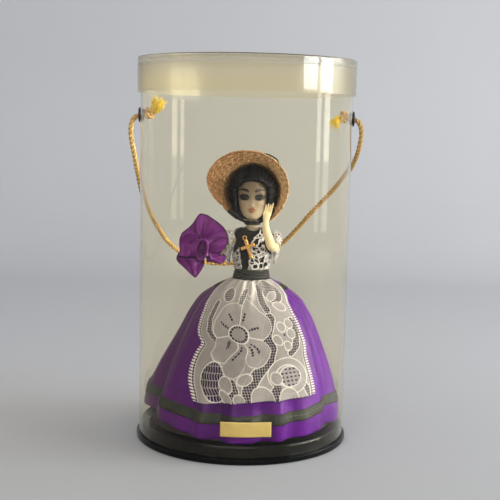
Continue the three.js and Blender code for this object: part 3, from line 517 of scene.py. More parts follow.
# On the petals the hem mark is their dark selvage; on the flower's middle it is painted shade in the hollow.
PETAL_SATIN = woven(
    "petal_satin", (40, 6, 50), (124, 42, 138), (130.0, 130.0), (0.32, 0.46), 0.02,
    [("hem", (16, 5, 22))], Specular_IOR_Level=0.4, Specular_Tint=colour(230, 190, 255),
)
RIBBON = woven("dark_ribbon", (10, 12, 10), (36, 39, 34), (900.0, 16.0), (0.5, 0.75), 0.05)
TIE = woven("black_ribbon", (8, 8, 10), (28, 28, 32), (60.0, 60.0), (0.45, 0.65), 0.04)
SASH = woven("sash_ribbon", (12, 14, 14), (44, 47, 46), (260.0, 26.0), (0.35, 0.6), 0.04)
# The cord mark lightens the outline threads; on the apron it also carries painted highlight on the pleat
# crests.
LACE = marked(
    "lace_thread", "cord", (182, 176, 185), (230, 226, 232), (0.75, 0.95), 1500.0, 0.08,
    shade=0.24, ribs=139.0,
)
HAIR = marked(
    "hair_black", "strand", (1, 1, 3), (30, 31, 44), (0.5, 0.7), 1200.0, 0.05, Specular_IOR_Level=0.2
)
# The plait mark holds the straw's pattern together with painted light and shade.
STRAW = marked("straw_plait", "plait", (166, 114, 74), (255, 219, 172), (0.6, 0.9), 1400.0, 0.12)
CORD = marked("cord_yarn", "yarn", (132, 80, 36), (250, 210, 134), (0.4, 0.6), 2200.0, 0.1)
TASSEL = marked(
    "tassel_yarn", "yarn", (250, 206, 30), (255, 244, 130), (0.6, 0.85), 2200.0, 0.06, shade=0.15
)


# Camera


def facing(place, aim):
    """Placement at a point with its view along -Z toward another point."""
    turn = (Vector(aim) - Vector(place)).to_track_quat("-Z", "Y").to_matrix().to_4x4()
    return Matrix.Translation(place) @ turn


def stand_camera():
    """Camera at the photograph's place: 543 mm in front, a little below the lid, turned by one degree."""
    lens = bpy.data.cameras.new("photo_camera")
    lens.lens = 73.78
    lens.sensor_width = 36.0
    lens.shift_y = 0.08
    lens.clip_start = 0.01
    camera = bpy.data.objects.new("photo_camera", lens)
    tilt = Matrix.Rotation(math.radians(1.18), 4, "Z")
    camera.matrix_world = facing((0.00364, -0.54335, 0.16508), (0.00364, 0, 0.07923)) @ tilt
    scene.collection.objects.link(camera)
    scene.camera = camera


stand_camera()


# Carrying cord

CORD_ROUTE = [
    [-52.6, 0, 171.3], [-55, 0, 170.8], [-56.6, 0, 170.4], [-58.6, 0, 169.2], [-60, 0, 166.6],
    [-60.5, 0, 163], [-60.2, 0.2, 158], [-59.2, 1.5, 152], [-58.3, 4.5, 145], [-57.6, 8.6, 139],
    [-55.4, 17.6, 125.1], [-50.8, 28.6, 112.2], [-43.4, 38.8, 99.4], [-34, 47, 91.5], [-23.5, 53.2, 87],
    [-11.4, 57, 85.8], [1, 58.2, 87.4], [12.5, 56.9, 92.8], [22.8, 53.6, 99.6], [30.8, 49.6, 108.5],
    [38, 44.2, 117.8], [46, 36.2, 127.6], [53.2, 24, 137.9], [57.4, 11.5, 146.6], [59.6, 2, 155.9],
    [60.4, 0, 163], [60, 0, 166.6], [58.6, 0, 169.2], [56.6, 0, 170.4], [55, 0, 170.8], [52.6, 0, 171.3],
]
CORD_RADIUS, YARN_RADIUS, YARN_PITCH = 1.4, 0.19, 1.1


def twisted(path, radius, pitch, around):
    """Three strands laid round a path.

    The section's radius is that of three touching circles, turned once for each pitch along the path.
    Returns the grid of points and a yarn mark: the yarn's stripes, falling toward the grooves between the
    strands as painted shade.
    """
    side, front = frames(path, (0.3, 1, 0.2))
    length = run_length(path)[:, None]
    turn = circle(around)
    lay = turn - TAU * length / pitch
    near = (lay + np.pi / 3) % (TAU / 3) - np.pi / 3
    reach = 0.5 * np.cos(near) + np.sqrt(np.maximum(0.02, 0.25 - 0.25 * np.sin(near) ** 2))
    yarn = 0.5 + 0.5 * np.sin(9 * lay + TAU * length / YARN_PITCH)
    reach = reach + 0.06 * (yarn - 0.5)
    points = sweep(path, side, front, turn, radius * reach, radius * reach)
    # Painted shade: the mark is darker toward the grooves between the strands.
    return points, 0.5 * yarn * np.cos(near) + 0.5 * reach


def capped(path, points):
    """Rings along a path, closed at both ends by a ring of no size."""
    none = 0 * points[:1]
    return np.concatenate([path[:1, None] + none, points, path[-1:, None] + none])


def carry_cord():
    """The cord along its route."""
    path = route(CORD_ROUTE, 760)
    points, yarn = twisted(path, CORD_RADIUS, 7.4, 30)
    yarn = np.concatenate([yarn[:1], yarn, yarn[-1:]])
    piece = grid_piece("carry_cord_twist", capped(path, points), wrap_cols=True, marks={"yarn": yarn})
    return fit(piece, "cord", CORD, "cord_gold", "carry_cord"), path


def square_to(way):
    """Two directions square to a way, the first of them level with the front."""
    across = unit(np.cross(way, (0, 1, 0)))
    return across, np.cross(way, across)


def tied_knot(name, node, tip, inward):
    """Overhand knot: a twisted strand along a three-lobed closed loop round the cord's end."""
    t = circle(180)
    flat = np.stack([np.sin(t) + 1.7 * np.sin(2 * t), np.cos(t) - 1.7 * np.cos(2 * t)], -1) * 0.78
    across, up = square_to(inward)
    middle = np.asarray(tip) + inward * 1.7
    path = middle + flat[:, :1] * across + flat[:, 1:] * up - 1.35 * np.sin(3 * t)[:, None] * inward
    points, yarn = twisted(np.concatenate([path, path[:1]]), 1.35, 6.4, 20)
    piece = grid_piece(name, points[:-1], wrap_rows=True, wrap_cols=True, marks={"yarn": yarn[:-1]})
    return fit(piece, "cord", CORD, "cord_gold", node)


def frayed_end(name, node, root, fray, full, seed):
    """Loose yarns of the cord's end: tubes that leave the knot together and spread along the fray's way.

    A fuller end has more, longer and wider spread yarns.
    """
    rng = np.random.default_rng(seed)
    count = int(170 * full)
    fray = unit(fray)
    across, deep = square_to(fray)
    angle = rng.uniform(0, TAU, count)
    spread = np.sqrt(rng.uniform(0, 1, count))[:, None]
    reach = rng.uniform(5.6, 11.2, count)[:, None, None] * full
    t = np.linspace(0, 1, 9)[:, None]
    out = np.cos(angle)[:, None] * across + np.sin(angle)[:, None] * deep
    foot = np.asarray(root) + spread * out * 0.85
    curl = rng.uniform(-0.8, 0.8, (count, 1, 3)) * np.sin(np.pi * t * 1.3)
    path = foot[:, None] + fray * reach * t + (out * spread * 4.2 * full)[:, None] * t**1.2 + curl
    along = unit(np.gradient(path, axis=1))
    side = unit(np.cross(along, (0.2, 0.9, 0.4)))
    thick = YARN_RADIUS * (1 - 0.75 * t**3)
    thick[[0, -1]] = 0
    points = sweep(path, side, np.cross(along, side), circle(5), thick, thick)
    piece = bundle_piece(name, points, "yarn", rng.uniform(0, 1, count))
    return fit(piece, "cord", TASSEL, "tassel_yellow", node)


cord, cord_path = carry_cord()
for word, end, before, fray, full, seed in (
    ("left", CORD_ROUTE[0], CORD_ROUTE[1], (0.5, -0.1, 0.86), 0.88, 3),
    ("right", CORD_ROUTE[-1], CORD_ROUTE[-2], (-0.6, -0.1, -0.8), 0.72, 5),
):
    into = unit(np.subtract(end, before))
    tied_knot(f"{word}_stopper_knot", f"{word}_knot", end, into)
    foot = np.asarray(end) + into * 3.6
    frayed_end(f"{word}_frayed_end", f"{word}_tassel", foot, fray, full, seed)


# Case


def case_tube():
    """Thin wall round the doll, cut round both eyelets."""
    turns = np.linspace(0, TAU, 301) - np.pi / 2
    below = [3.5, 3.56, 3.9, *np.linspace(6, 164, 40)]
    heights = np.array([*below, *np.linspace(165, 177, 33), *np.linspace(179, 194.8, 8), 195.14, 195.2])
    turn, z = np.meshgrid(turns, heights)
    from_side = np.abs((turn + np.pi / 2) % np.pi - np.pi / 2) * TUBE_RADIUS
    field = np.hypot(from_side, z - EYELET_HEIGHT) - EYELET_HOLE

    def place(turn, z):
        return np.stack([TUBE_RADIUS * np.cos(turn), TUBE_RADIUS * np.sin(turn), z], -1), {}

    piece = cut_piece("clear_tube_wall", turns, heights, field, place, TUBE_WALL)
    return fit(piece, "tube", CLEAR_TUBE, "clear_sheet", "display_tube")


def case_lid():
    """Clear lid: a skirt wall, a flat top and a ledge inside that rests on the tube's edge.

    Its inner side is matt, less so under the top.
    """
    top, low, wall = CASE_HEIGHT, CASE_HEIGHT - LID_HEIGHT, LID_RADIUS - LID_INNER
    profile = crisp([
        [LID_RADIUS - 0.9, top], [LID_RADIUS - 0.25, top - 0.25], [LID_RADIUS, top - 0.9], [LID_RADIUS, low],
        [LID_INNER, low], [LID_INNER, LEDGE], [LEDGE_RADIUS, LEDGE], [LEDGE_RADIUS, LEDGE + 0.6],
        [LID_INNER, LEDGE + 0.6], [LID_INNER, top - wall],
    ], 0.1)
    disc = np.array([[0, top], [18, top], [36, top], [50, top]])
    points = turned(np.concatenate([disc, profile, disc[::-1] - [0, wall]]), 256)
    x, y, z = np.moveaxis(points, -1, 0)
    inner = (np.hypot(x, y) < LID_INNER + 0.01) & (z < top - wall / 2)
    matt = inner * np.where(z > LEDGE + 1, 0.3, 1.0)
    piece = grid_piece("clear_lid_cap", points, wrap_cols=True, marks={"matt": matt})
    return fit(piece, "lid", CLEAR_LID, "lid_clear", "lid")


def case_base():
    """Black plug: a rim under the tube's edge and a raised floor that the tube slips over."""
    profile = crisp([
        [PLUG_RADIUS - 1.2, PLUG_TOP], [PLUG_RADIUS - 0.35, PLUG_TOP - 0.35], [PLUG_RADIUS, PLUG_TOP - 1.2],
        [PLUG_RADIUS, FLANGE_HEIGHT], [FLANGE_RADIUS - 0.6, FLANGE_HEIGHT],
        [FLANGE_RADIUS, FLANGE_HEIGHT - 0.6], [FLANGE_RADIUS, 0.6], [FLANGE_RADIUS - 0.6, 0],
        [FLANGE_RADIUS - 3.4, 0],
        [PLUG_RADIUS - 1.2, PLUG_TOP - 1.2],
    ], 0.12)
    floor = np.array([[0, PLUG_TOP], [20, PLUG_TOP], [40, PLUG_TOP]])
    under = floor[::-1] - [0, 1.2]
    piece = grid_piece("black_plug", turned(np.concatenate([floor, profile, under]), 256), wrap_cols=True)
    return fit(piece, "stand", BASE_BLACK, "case_black", "base_plug")


def eyelet(word, side):
    """Flanged ring whose two plates hold the wall of the tube, turned round the X axis."""
    profile = crisp([
        [2.75, 1.1], [2.3, 0.65], [2.3, -1.2], [3.2, -1.2], [3.2, -0.7], [2.8, -0.7], [2.8, 0.3], [3.9, 0.3],
        [3.9, 0.78], [3.55, 1.1],
    ], 0.08)
    p = turned(np.concatenate([profile, profile[:1]]), 64)
    points = np.stack([side * (TUBE_RADIUS + p[..., 2]), p[..., 0], EYELET_HEIGHT + p[..., 1]], -1)
    piece = grid_piece(f"{word}_eyelet_ring", points, wrap_cols=True)
    return fit(piece, "tube", EYELET_BLACK, "case_black", f"{word}_eyelet")


case_tube()
case_lid()
case_base()
eyelet("right", 1)
eyelet("left", -1)


# Skirt and what lies on it

SKIRT_SHAPE = [
    [0, 1], [0.1, 0.99], [0.235, 0.934], [0.56, 0.752], [0.78, 0.595], [0.86, 0.512], [0.945, 0.34],
    [1, 0.193],
]
# Each crease's turn in degrees, height and half width.
CREASES = [
    [57, 0.55, 3.0], [67, 0.7, 2.6], [78, 0.5, 3.4], [-62, 0.5, 3.6], [-80, 0.55, 3.0], [-112, 0.5, 4],
    [118, 0.5, 4], [160, 0.6, 4], [-150, 0.6, 4],
]
# Middle of the hem ribbon as a share of the skirt's height, and the label's size.
RIBBON_SHARE = 0.142
LABEL_WIDE, LABEL_TALL = 25.5, 7.6
# Turns of the apron's edges, left and right as seen from the front, by the share of the skirt's height.
APRON_LEFT = [
    [0.222, -29.5], [0.302, -33.5], [0.386, -38.3], [0.482, -40.2], [0.542, -39.2], [0.6, -37.6],
    [0.64, -44.2], [0.73, -49], [0.815, -51.5], [0.878, -55.5], [0.936, -66], [0.982, -75], [1, -78],
]
APRON_RIGHT = [
    [0.222, 50], [0.324, 50.3], [0.392, 50], [0.462, 49.2], [0.53, 49], [0.594, 51], [0.662, 50.5],
    [0.716, 49.8], [0.766, 48.5], [0.834, 46.5], [0.866, 47], [0.908, 54], [0.948, 62.8], [1, 70],
]


def front_degrees(turn):
    """A turn from the front in degrees between -180 and 180."""
    return np.degrees((turn + np.pi) % TAU - np.pi)


def skirt_point(turn, share, offset):
    """Point of the skirt's face by the turn from the front, the share of its height and an offset outward.

    The radius is the profile's share of the hem radius, less nine soft folds, plus narrow creases, and it
    falls in on the doll's right. Uneven drapes deepen toward the hem and stay shallow under the apron. The
    hem rises at the sides, more on the doll's right, where it also flares, and the axis leans to the doll's
    left.
    """
    degrees = front_degrees(turn)
    flare = bump(degrees, -92, 42)
    low = HEM + 6 * np.sin(turn) ** 2 * (1 - 0.6 * ease(np.sin(turn), 0, 0.8)) + 4 * flare
    z = mix(low, WAIST, share)
    below_waist = 1 - ease(share, 0.8, 1)
    fold = 0.7 * (1 - share * 0.8) * (np.cos(9 * turn + 0.8 * np.sin(3 * turn)) - 1)
    crease = sum(height * bump(degrees + 6 * (share - 0.5), at, half) for at, height, half in CREASES)
    crease = 0.8 * crease * ease(share, 0.02, 0.3) * below_waist
    under = bump(degrees, 6, 46) * ease(share, 0.2, 0.34)
    wave = np.sin(13 * turn + 1.4 * np.sin(2 * turn) + 1.9)
    wave = wave + 0.7 * np.sin(22 * turn + 1.1 * np.sin(3 * turn) - 1.6)
    deep = 1.15 * (1 - ease(share, 0.05, 0.62)) + 0.2
    drape = deep * (wave - 1.6) * (1 - 0.85 * under) * below_waist
    slack = 2.6 * bump(degrees, -90, 55) * bump(share, 0.56, 0.3)
    spread = 1.3 * flare * (1 - ease(share, 0, 0.25))
    radius = HEM_RADIUS * table(share, SKIRT_SHAPE) + fold + crease + drape - slack + spread + offset
    axis = LEAN * (z - HEM) / (WAIST - HEM)
    return np.stack([axis + radius * np.sin(turn), -radius * np.cos(turn), z], -1)


def satin_skirt():
    """One closed shell: the face from hem to waist and back down inside, one cloth thickness in.

    One mark darkens the satin under and just below the apron as painted shade, the other dulls it toward
    plum on the doll's right as painted shade and reflection.
    """
    up = np.concatenate([np.linspace(0, 0.03, 6)[:-1], np.linspace(0.03, 1, 95)])
    down = np.linspace(1, 0, 26)
    offset = np.concatenate([-0.3 * (1 - ease(up, 0, 0.012)), np.full(len(down), -0.6)])
    turn, share = np.meshgrid(circle(420), np.concatenate([up, down]))
    degrees = front_degrees(turn)
    inside = np.minimum(degrees - table(share, APRON_LEFT), table(share, APRON_RIGHT) - degrees)
    # Painted shade: the hem mark darkens the satin under the apron and in a patch just below it, so the
    # lace's holes and the front below read dark.
    apron_shade = 0.95 * ease(inside, 0, 4) * ease(share, 0.24, 0.275)
    below = 0.55 * bump(degrees, -14, 26) * bump(share, 0.22, 0.07)
    # Painted shade and reflection: the flank mark tints the satin on the doll's right toward a dull plum.
    marks = {"hem": np.maximum(apron_shade, below), "flank_shade": 0.75 * bump(degrees, -88, 64)}
    points = skirt_point(turn, share, offset[:, None])
    piece = grid_piece("satin_skirt", points, wrap_rows=True, wrap_cols=True, marks=marks)
    return fit(piece, "stand", SATIN, "satin_purple", "skirt")


def ribbon_loop(turns, low, high, near, thick, rows, rise=0.0):
    """Closed section of a ribbon on the skirt, swept round it: up its outer face and down its inner one.

    The rise lifts it by a share of the skirt's height for each turn.
    """
    v = np.linspace(0, 1, rows)
    offset = np.concatenate([near + thick * (1 - 0.5 * (2 * v - 1) ** 8), np.full(rows, near)])
    turn, share = np.meshgrid(turns, np.concatenate([mix(low, high, v), mix(high, low, v)]))
    return skirt_point(turn, share + rise, offset[:, None])


def hem_rise(turn):
    """The hem ribbon wanders a little in its height, rises on the doll's left and drops on its right."""
    degrees = front_degrees(turn)
    uneven = 0.004 * wander(6 * turn, 0 * turn, 2)
    return uneven + 0.035 * bump(degrees, 80, 32) - 0.02 * bump(degrees, -88, 34)


def hem_ribbon():
    """Ribbon sewn near the hem, a little uneven in its height."""
    turn = circle(480)
    low, high = RIBBON_SHARE - 0.0366, RIBBON_SHARE + 0.0366
    points = ribbon_loop(turn, low, high, 0.12, 0.35, 10, hem_rise(turn))
    piece = grid_piece("hem_ribbon", points, wrap_rows=True, wrap_cols=True)
    return fit(piece, "stand", RIBBON, "ribbon_dark", "hem_band")


def hem_stitches():
    """Short pale stitches along the ribbon's middle on the doll's left: thin rods that lie on the ribbon."""
    starts = np.radians(np.arange(27, 66, 2.9))
    turn = starts[:, None] + np.radians(1.9) * np.linspace(0, 1, 5)
    around = circle(6)
    thick = 0.1 * np.array([0.05, 1, 1, 1, 0.05])[:, None]
    share = RIBBON_SHARE + 0.004 + hem_rise(turn)[..., None] + thick * np.cos(around) / 76
    points = skirt_point(turn[..., None] + 0 * around, share, 0.6 + thick * np.sin(around))
    piece = bundle_piece("hem_stitches", points, "cord", np.full(len(starts), 0.05))
    return fit(piece, "stand", LACE, "lace_white")


def apron_ties():
    """Narrow ribbon from one top corner of the apron round the back to the other, closed at both ends."""
    turn = np.linspace(math.radians(64), math.radians(290), 220)
    points = ribbon_loop(turn, 0.93, 0.962, 0.15, 0.3, 6)
    points = np.concatenate([points, points[:1]])
    middle = points.mean(0)
    points[:, 0] = middle[0]
    points[:, -1] = middle[-1]
    return fit(grid_piece("apron_ties", points), "stand", TIE, "ribbon_dark", "apron_string")


def foil_label():
    """Blank foil label bent round the hem ribbon, its right end a little free."""
    u, v = np.meshgrid(np.linspace(-1, 1, 48), np.linspace(-1, 1, 14))
    seat = HEM_RADIUS * table(np.array([0.1]), SKIRT_SHAPE)[0] + 1.0
    turn = math.radians(3.1) + u * LABEL_WIDE / 2 / seat
    radius = seat + 0.5 * ease(u, 0.55, 1.0) ** 2 + 0.12 * wander(3 * u, 2 * v, 4)
    z = HEM + RIBBON_SHARE * (WAIST - HEM) - 2.9 + v * LABEL_TALL / 2
    points = np.stack([radius * np.sin(turn), -radius * np.cos(turn), z], -1)
    piece = thicken(grid_piece("foil_label", points, outward=False), 0.25)
    return fit(piece, "stand", LABEL, "label_gold", "name_label")


skirt = satin_skirt()
hem_stitches()
hem_ribbon()
foil_label()


# Lace apron

# Each pleat's share of the apron's width, height and half width.
APRON_PLEATS = [
    [0.2, 1.0, 0.045], [0.33, 1.3, 0.035], [0.43, 3.3, 0.036], [0.54, 3.0, 0.032], [0.66, 1.5, 0.04],
    [0.8, 1.0, 0.04],
]
APRON_WIDE, APRON_LONG, APRON_LOW = 72.0, 73.9, 0.266
LACE_STEP = 0.36


def apron_pleat(x, y):
    """Height of the pleats, bell curves across the apron that grow toward the waist."""
    u = x / APRON_WIDE + 0.5
    return ease(y, 46, 72) * sum(height * bump(u, at, half) for at, height, half in APRON_PLEATS)


def apron_point(x, y, offset):
    """Point of the apron by its flat place: across from the middle and up from its lower edge.

    Height follows the length along the skirt, and the turn lies between the two edges' turns. Pleats stand
    up toward the waist, and the lower corner on the doll's right hangs.
    """
    shares = np.linspace(APRON_LOW, 1, 60)
    length = run_length(skirt_point(np.full(60, math.radians(4.0)), shares, 0.5))
    share = np.interp(y, length * APRON_LONG / length[-1], shares)
    u = x / APRON_WIDE + 0.5
    turn = np.radians(mix(table(share, APRON_LEFT), table(share, APRON_RIGHT), u))
    droop = 0.04 * np.maximum(0, 1 - 2.5 * (share - APRON_LOW) / (1 - APRON_LOW)) * ease(0.45 - u, 0, 0.45)
    sway = 0.16 * wander(x / 7, y / 9, 3) + 0.16
    return skirt_point(turn, share - droop, 0.35 + apron_pleat(x, y) + sway + offset)


# Reach of the big flower's petals by the turn round its middle.
PETAL_EDGE = np.array([
    [9.6, 21.6], [21.8, 22.9], [41.8, 20.3], [66.3, 21.6], [76, 22.5], [77.8, 17.1], [95, 18.2],
    [116.4, 18.6], [147.4, 17.1], [166, 17.0], [181.4, 16.2], [192.8, 14.0], [202, 20.9], [210.7, 22.6],
    [223.7, 21.9], [237, 19.2], [240.3, 18.8], [242.5, 21.9], [250.9, 24.1], [260.8, 24.4], [270, 21.7],
    [278.3, 17.3], [280.4, 13.8], [286.6, 17.8], [297.3, 20.5], [309.7, 21.4], [322.1, 20.5], [333.6, 17.3],
    [346.9, 13.7], [358.8, 18.4], [369.6, 21.6],
])
BLOOM = (-6.5, 36.0)


def to_line(x, y, line):
    """Distance to a line through several points."""
    line = np.asarray(line, float)
    best = np.full(x.shape, 1e9)
    for (ax, ay), (bx, by) in zip(line[:-1], line[1:]):
        t = np.clip(((x - ax) * (bx - ax) + (y - ay) * (by - ay)) / ((bx - ax) ** 2 + (by - ay) ** 2), 0, 1)
        best = np.minimum(best, np.hypot(x - mix(ax, bx, t), y - mix(ay, by, t)))
    return best


def oval(x, y, cx, cy, half_x, half_y, turn=0.0):
    """About the distance outside an ellipse, below zero inside it."""
    c, s = math.cos(math.radians(turn)), math.sin(math.radians(turn))
    a, b = (x - cx) * c + (y - cy) * s, (y - cy) * c - (x - cx) * s
    return (np.hypot(a / half_x, b / half_y) - 1) * min(half_x, half_y)


def net(x, y, pitch_x, pitch_y, thread):
    """Square net: above zero on threads whose lines are a pitch apart."""
    from_x = np.abs((x + pitch_x / 2) % pitch_x - pitch_x / 2)
    from_y = np.abs((y + pitch_y / 2) % pitch_y - pitch_y / 2)
    return thread / 2 - np.minimum(from_x, from_y)


def ray(dx, dy, degrees):
    """Places along and across a ray that leaves the flower's middle at a turn."""
    c, s = math.cos(math.radians(degrees)), math.sin(math.radians(degrees))
    return dx * c + dy * s, dy * c - dx * s


# Bands opened to net: half width and middle line.
NET_BANDS = [
    (2.9, [(15.5, 45), (10.4, 36), (9.9, 22), (2.5, 14.4), (-3.2, 7.1), (-7, -2)]),
    (2.4, [(30.2, 42), (30, 35), (27.4, 29), (23.5, 25.6)]),
    (1.7, [(-23.5, 53), (-26.6, 43), (-25.6, 36), (-22.5, 31.5)]),
    (2.2, [(8, 68), (10.5, 58), (15, 50)]),
    (1.9, [(-2.5, 64), (-4.5, 55)]),
    (2.8, [(12.5, 6), (9, 2), (8.8, -2)]),
    (2.2, [(-11.5, 10), (-11, 6), (-13, 1.5)]),
]
# Ovals opened to nets: middle, half width, half height and turn.
NET_OVALS = [(19.5, 64.0, 12.0, 7.2, -42), (-15.5, 60, 4.4, 5.4), (29.5, 4.4, 1.8, 5.2, 20)]
LADDER_OVAL, COARSE_OVAL = (-21.6, 10.2, 6.4, 9.8, -6), (21, 11.8, 6.2, 5.8)
# Petals of the small flower: middle and radius.
SMALL_FLOWER = [
    (20.9, 39.6, 3.0), (26.9, 41.2, 2.9), (26.4, 35.4, 3.0), (21.2, 28.9, 2.7), (16.0, 32.4, 3.0),
]
# Ovals closed again, in the same terms.
CLOSED_OVALS = [
    (12.6, 11.8, 3.3, 3.6), (-4.3, 11.9, 4.7, 2.9, 28), (-14.8, 9.0, 3.7, 4.4), (-16.6, 2.6, 2.6, 4.2, 25),
    (-9.7, 1.0, 3.1, 3.4), (2.8, 0.4, 6.4, 7.8), (17.4, -0.6, 6.2, 7.0), (19.5, 59.5, 4.6, 3.6, 40),
    (25.5, 52, 5.4, 2.9, -20), (1.5, 66, 2.4, 6.5),
]
# Seams between the big petals: turn and reach.
SEAMS = [(77.8, 17.1), (192.8, 14), (241, 19), (280.4, 13.8), (346.9, 13.7)]
# Rows of eyelets on the big petals: turn, start, end and bend.
VEINS = [
    (66, 7.5, 13.5, 0.1), (20, 7, 14, -0.5), (118, 7.5, 13, 0.5), (156, 7, 13, -0.5),
    (212, 7.5, 14.5, 0.5), (256, 7, 15.5, -0.6), (296, 7, 13, 0.3), (316, 7, 14, -0.5),
]
EYELET_PITCH, LADDER_PITCH = 1.8, 1.44


def apron_lace(x, y):
    """Lace field, above zero where there is thread, and the share of outline thread.

    The ground is dense cloth. Bands and ovals are opened to nets and ladders, then the flowers, scrolls and
    scallops close them again, each with an outline along its edge. Rows of eyelets vein the big petals.
    """
    mesh = net(x, y, 4 * LACE_STEP, 4 * LACE_STEP, 0.32)
    ladder = net(x + 0.25 * np.sin(y * 1.1), y, 4 * LACE_STEP, 10 * LACE_STEP, 0.4)
    coarse = net(x, y, 7 * LACE_STEP, 6 * LACE_STEP, 1.2)
    openings = [(mesh, to_line(x, y, line) - half) for half, line in NET_BANDS]
    openings += [(mesh, oval(x, y, *shape)) for shape in NET_OVALS]
    openings += [(ladder, oval(x, y, *LADDER_OVAL)), (coarse, oval(x, y, *COARSE_OVAL))]
    thread = np.full(x.shape, 1.0)
    rim = np.zeros(x.shape)
    for inside, edge in openings:
        thread = np.minimum(thread, np.maximum(edge, inside))
        rim = np.maximum(rim, bump(edge, 0.2, 0.26))
    dx, dy = x - BLOOM[0], y - BLOOM[1]
    angle = np.degrees(np.arctan2(dy, dx))
    angle = np.where(angle < PETAL_EDGE[0, 0], angle + 360, angle)
    petals = np.hypot(dx, dy) - np.interp(angle, PETAL_EDGE[:, 0], PETAL_EDGE[:, 1])
    small = np.min([oval(x, y, cx, cy, radius, radius) for cx, cy, radius in SMALL_FLOWER], axis=0)
    scroll = np.abs(oval(x, y, 19.8, 12.6, 9.4, 8.0)) - 2.0
    scroll = np.where((y < 8) & (x < 14), 9, scroll)
    for shape in [petals, small, scroll] + [oval(x, y, *row) for row in CLOSED_OVALS]:
        thread = np.maximum(thread, -shape)
        rim = np.where(shape < -0.5, 0.15 * rim, rim)
        rim = np.maximum(rim, bump(shape, -0.1, 0.26))
    for turn, reach in SEAMS:
        along, across = ray(dx, dy, turn)
        rim = np.maximum(rim, bump(across, 0, 0.26) * (along > 5.2) * (along < reach))
    rim = np.maximum(rim, bump(oval(x, y, *BLOOM, 6.0, 4.9), 0, 0.3))
    spokes = 0.5 - np.abs(np.sin(np.radians(angle) * 8))
    thread = np.minimum(thread, np.maximum(np.abs(oval(x, y, *BLOOM, 4.9, 3.9)) - 0.6, spokes))
    for turn, low, high, bend in VEINS:
        along, across = ray(dx, dy, turn)
        from_hole = (along + EYELET_PITCH / 2) % EYELET_PITCH - EYELET_PITCH / 2
        holes = np.hypot(from_hole, across - bend * ((along - low) / 5) ** 2) - 0.74
        thread = np.minimum(thread, np.where((along > low) & (along < high), holes, 1))
    half = LADDER_PITCH / 2
    bar = np.abs((y + half) % LADDER_PITCH - half)
    out = np.abs(x)
    thread = np.minimum(thread, np.hypot(out - 33.2, half - bar) - 0.5)
    thread = np.minimum(thread, oval(x, y, 21.7, 35.0, 0.7, 0.8))
    thread = np.minimum(thread, np.where(out > 34.2, 0.42 - bar, 1))
    thread = np.minimum(thread, 36.4 - out - 0.9 * (bar / 0.42) ** 2)
    thread = np.minimum(thread, np.minimum(y + 0.12 * np.sin(3 * x), APRON_LONG - y))
    rim = np.maximum(rim, 0.7 * bump(out, 32.4, 0.3))
    return thread, np.maximum(rim, ease(out, 33.6, 34.0))


def lace_apron():
    """Apron cut from its lace field and laid on the skirt, with its outlines raised."""
    xs = np.arange(-37.08, 37.2, LACE_STEP)
    ys = np.arange(-0.36, APRON_LONG + 0.3, LACE_STEP)

    def place(x, y):
        rim = apron_lace(x, y)[1]
        # Painted highlight: the cord mark also grows with the pleats' height, lightening the pleat crests.
        return apron_point(x, y, 0.28 * rim), {"cord": np.clip(rim + 0.3 * apron_pleat(x, y), 0, 1)}

    field = apron_lace(*np.meshgrid(xs, ys))[0]
    piece = cut_piece("lace_apron", xs, ys, field, place, 0.32, flat=(0.01, 0.01))
    return fit(piece, "stand", LACE, "lace_white", "apron")


lace_apron()
apron_ties()


# Upper body, in heights above the waist

TORSO_SHAPE = np.array([
    [-4, 6.2, 5.4, 5.2], [0, 7, 6, 5.6], [5, 7.2, 6.4, 5.6], [11, 8.2, 8, 6], [16, 8.6, 8.2, 6.2],
    [20.5, 8.6, 6.8, 6], [24.5, 7.8, 5.2, 5.2], [26.3, 6, 4.4, 4.6], [27, 4.4, 4, 4.2],
])
BODICE_LOW, BODICE_OFF = 5.1, 1.05


def oval_ring(turn, z, half, front, back):
    """Points of an ellipse about the axis, with its own depth at the front and at the back."""
    depth = np.where(np.cos(turn) > 0, front, back)
    return np.stack([half * np.sin(turn), -depth * np.cos(turn), z + 0 * turn], -1)


def torso_point(turn, z, offset):
    """Point of the torso by the turn from the front, the height and an offset outward."""
    half, front, back = np.moveaxis(curve(z, TORSO_SHAPE[:, 0], TORSO_SHAPE[:, 1:]), -1, 0)
    return UPPER + oval_ring(turn, z, half + offset, front + offset, back + offset)


def ring_rows(turn, rows):
    """Rings of [height, half width, front depth, back depth] round the upper body's axis."""
    z, half, front, back = np.moveaxis(np.asarray(rows, float), -1, 0)[..., None]
    return oval_ring(turn, z, half, front, back)


def moulded_torso():
    """Torso with its neck socket, closed under the waist."""
    z = np.linspace(-4, 27, 60)
    body = np.concatenate([z[:, None], curve(z, TORSO_SHAPE[:, 0], TORSO_SHAPE[:, 1:])], 1)
    socket = [[27, 3.7, 3.7, 3.7], [26.8, 3.6, 3.6, 3.6], [19.6, 3.6, 3.6, 3.6], [19.5, 0, 0, 0]]
    rows = np.concatenate([[[-4, 0, 0, 0]], body, socket])
    piece = grid_piece("moulded_torso", UPPER + ring_rows(circle(72), rows), wrap_cols=True)
    return fit(piece, "stand", SHADED_TORSO_SKIN, "skin_plastic", "torso")


def closed_band(name, turn, z, radius, flat, inner, step):
    """A band round the upper body: its outer face, and a plain inner face of every so many rows."""
    outer = np.stack([radius * np.sin(turn), -radius * flat * np.cos(turn), z], -1)
    back = np.stack([inner * np.sin(turn), -inner * np.cos(turn), z], -1)[::-step]
    return grid_piece(name, UPPER + np.concatenate([outer, back]), wrap_rows=True, wrap_cols=True)


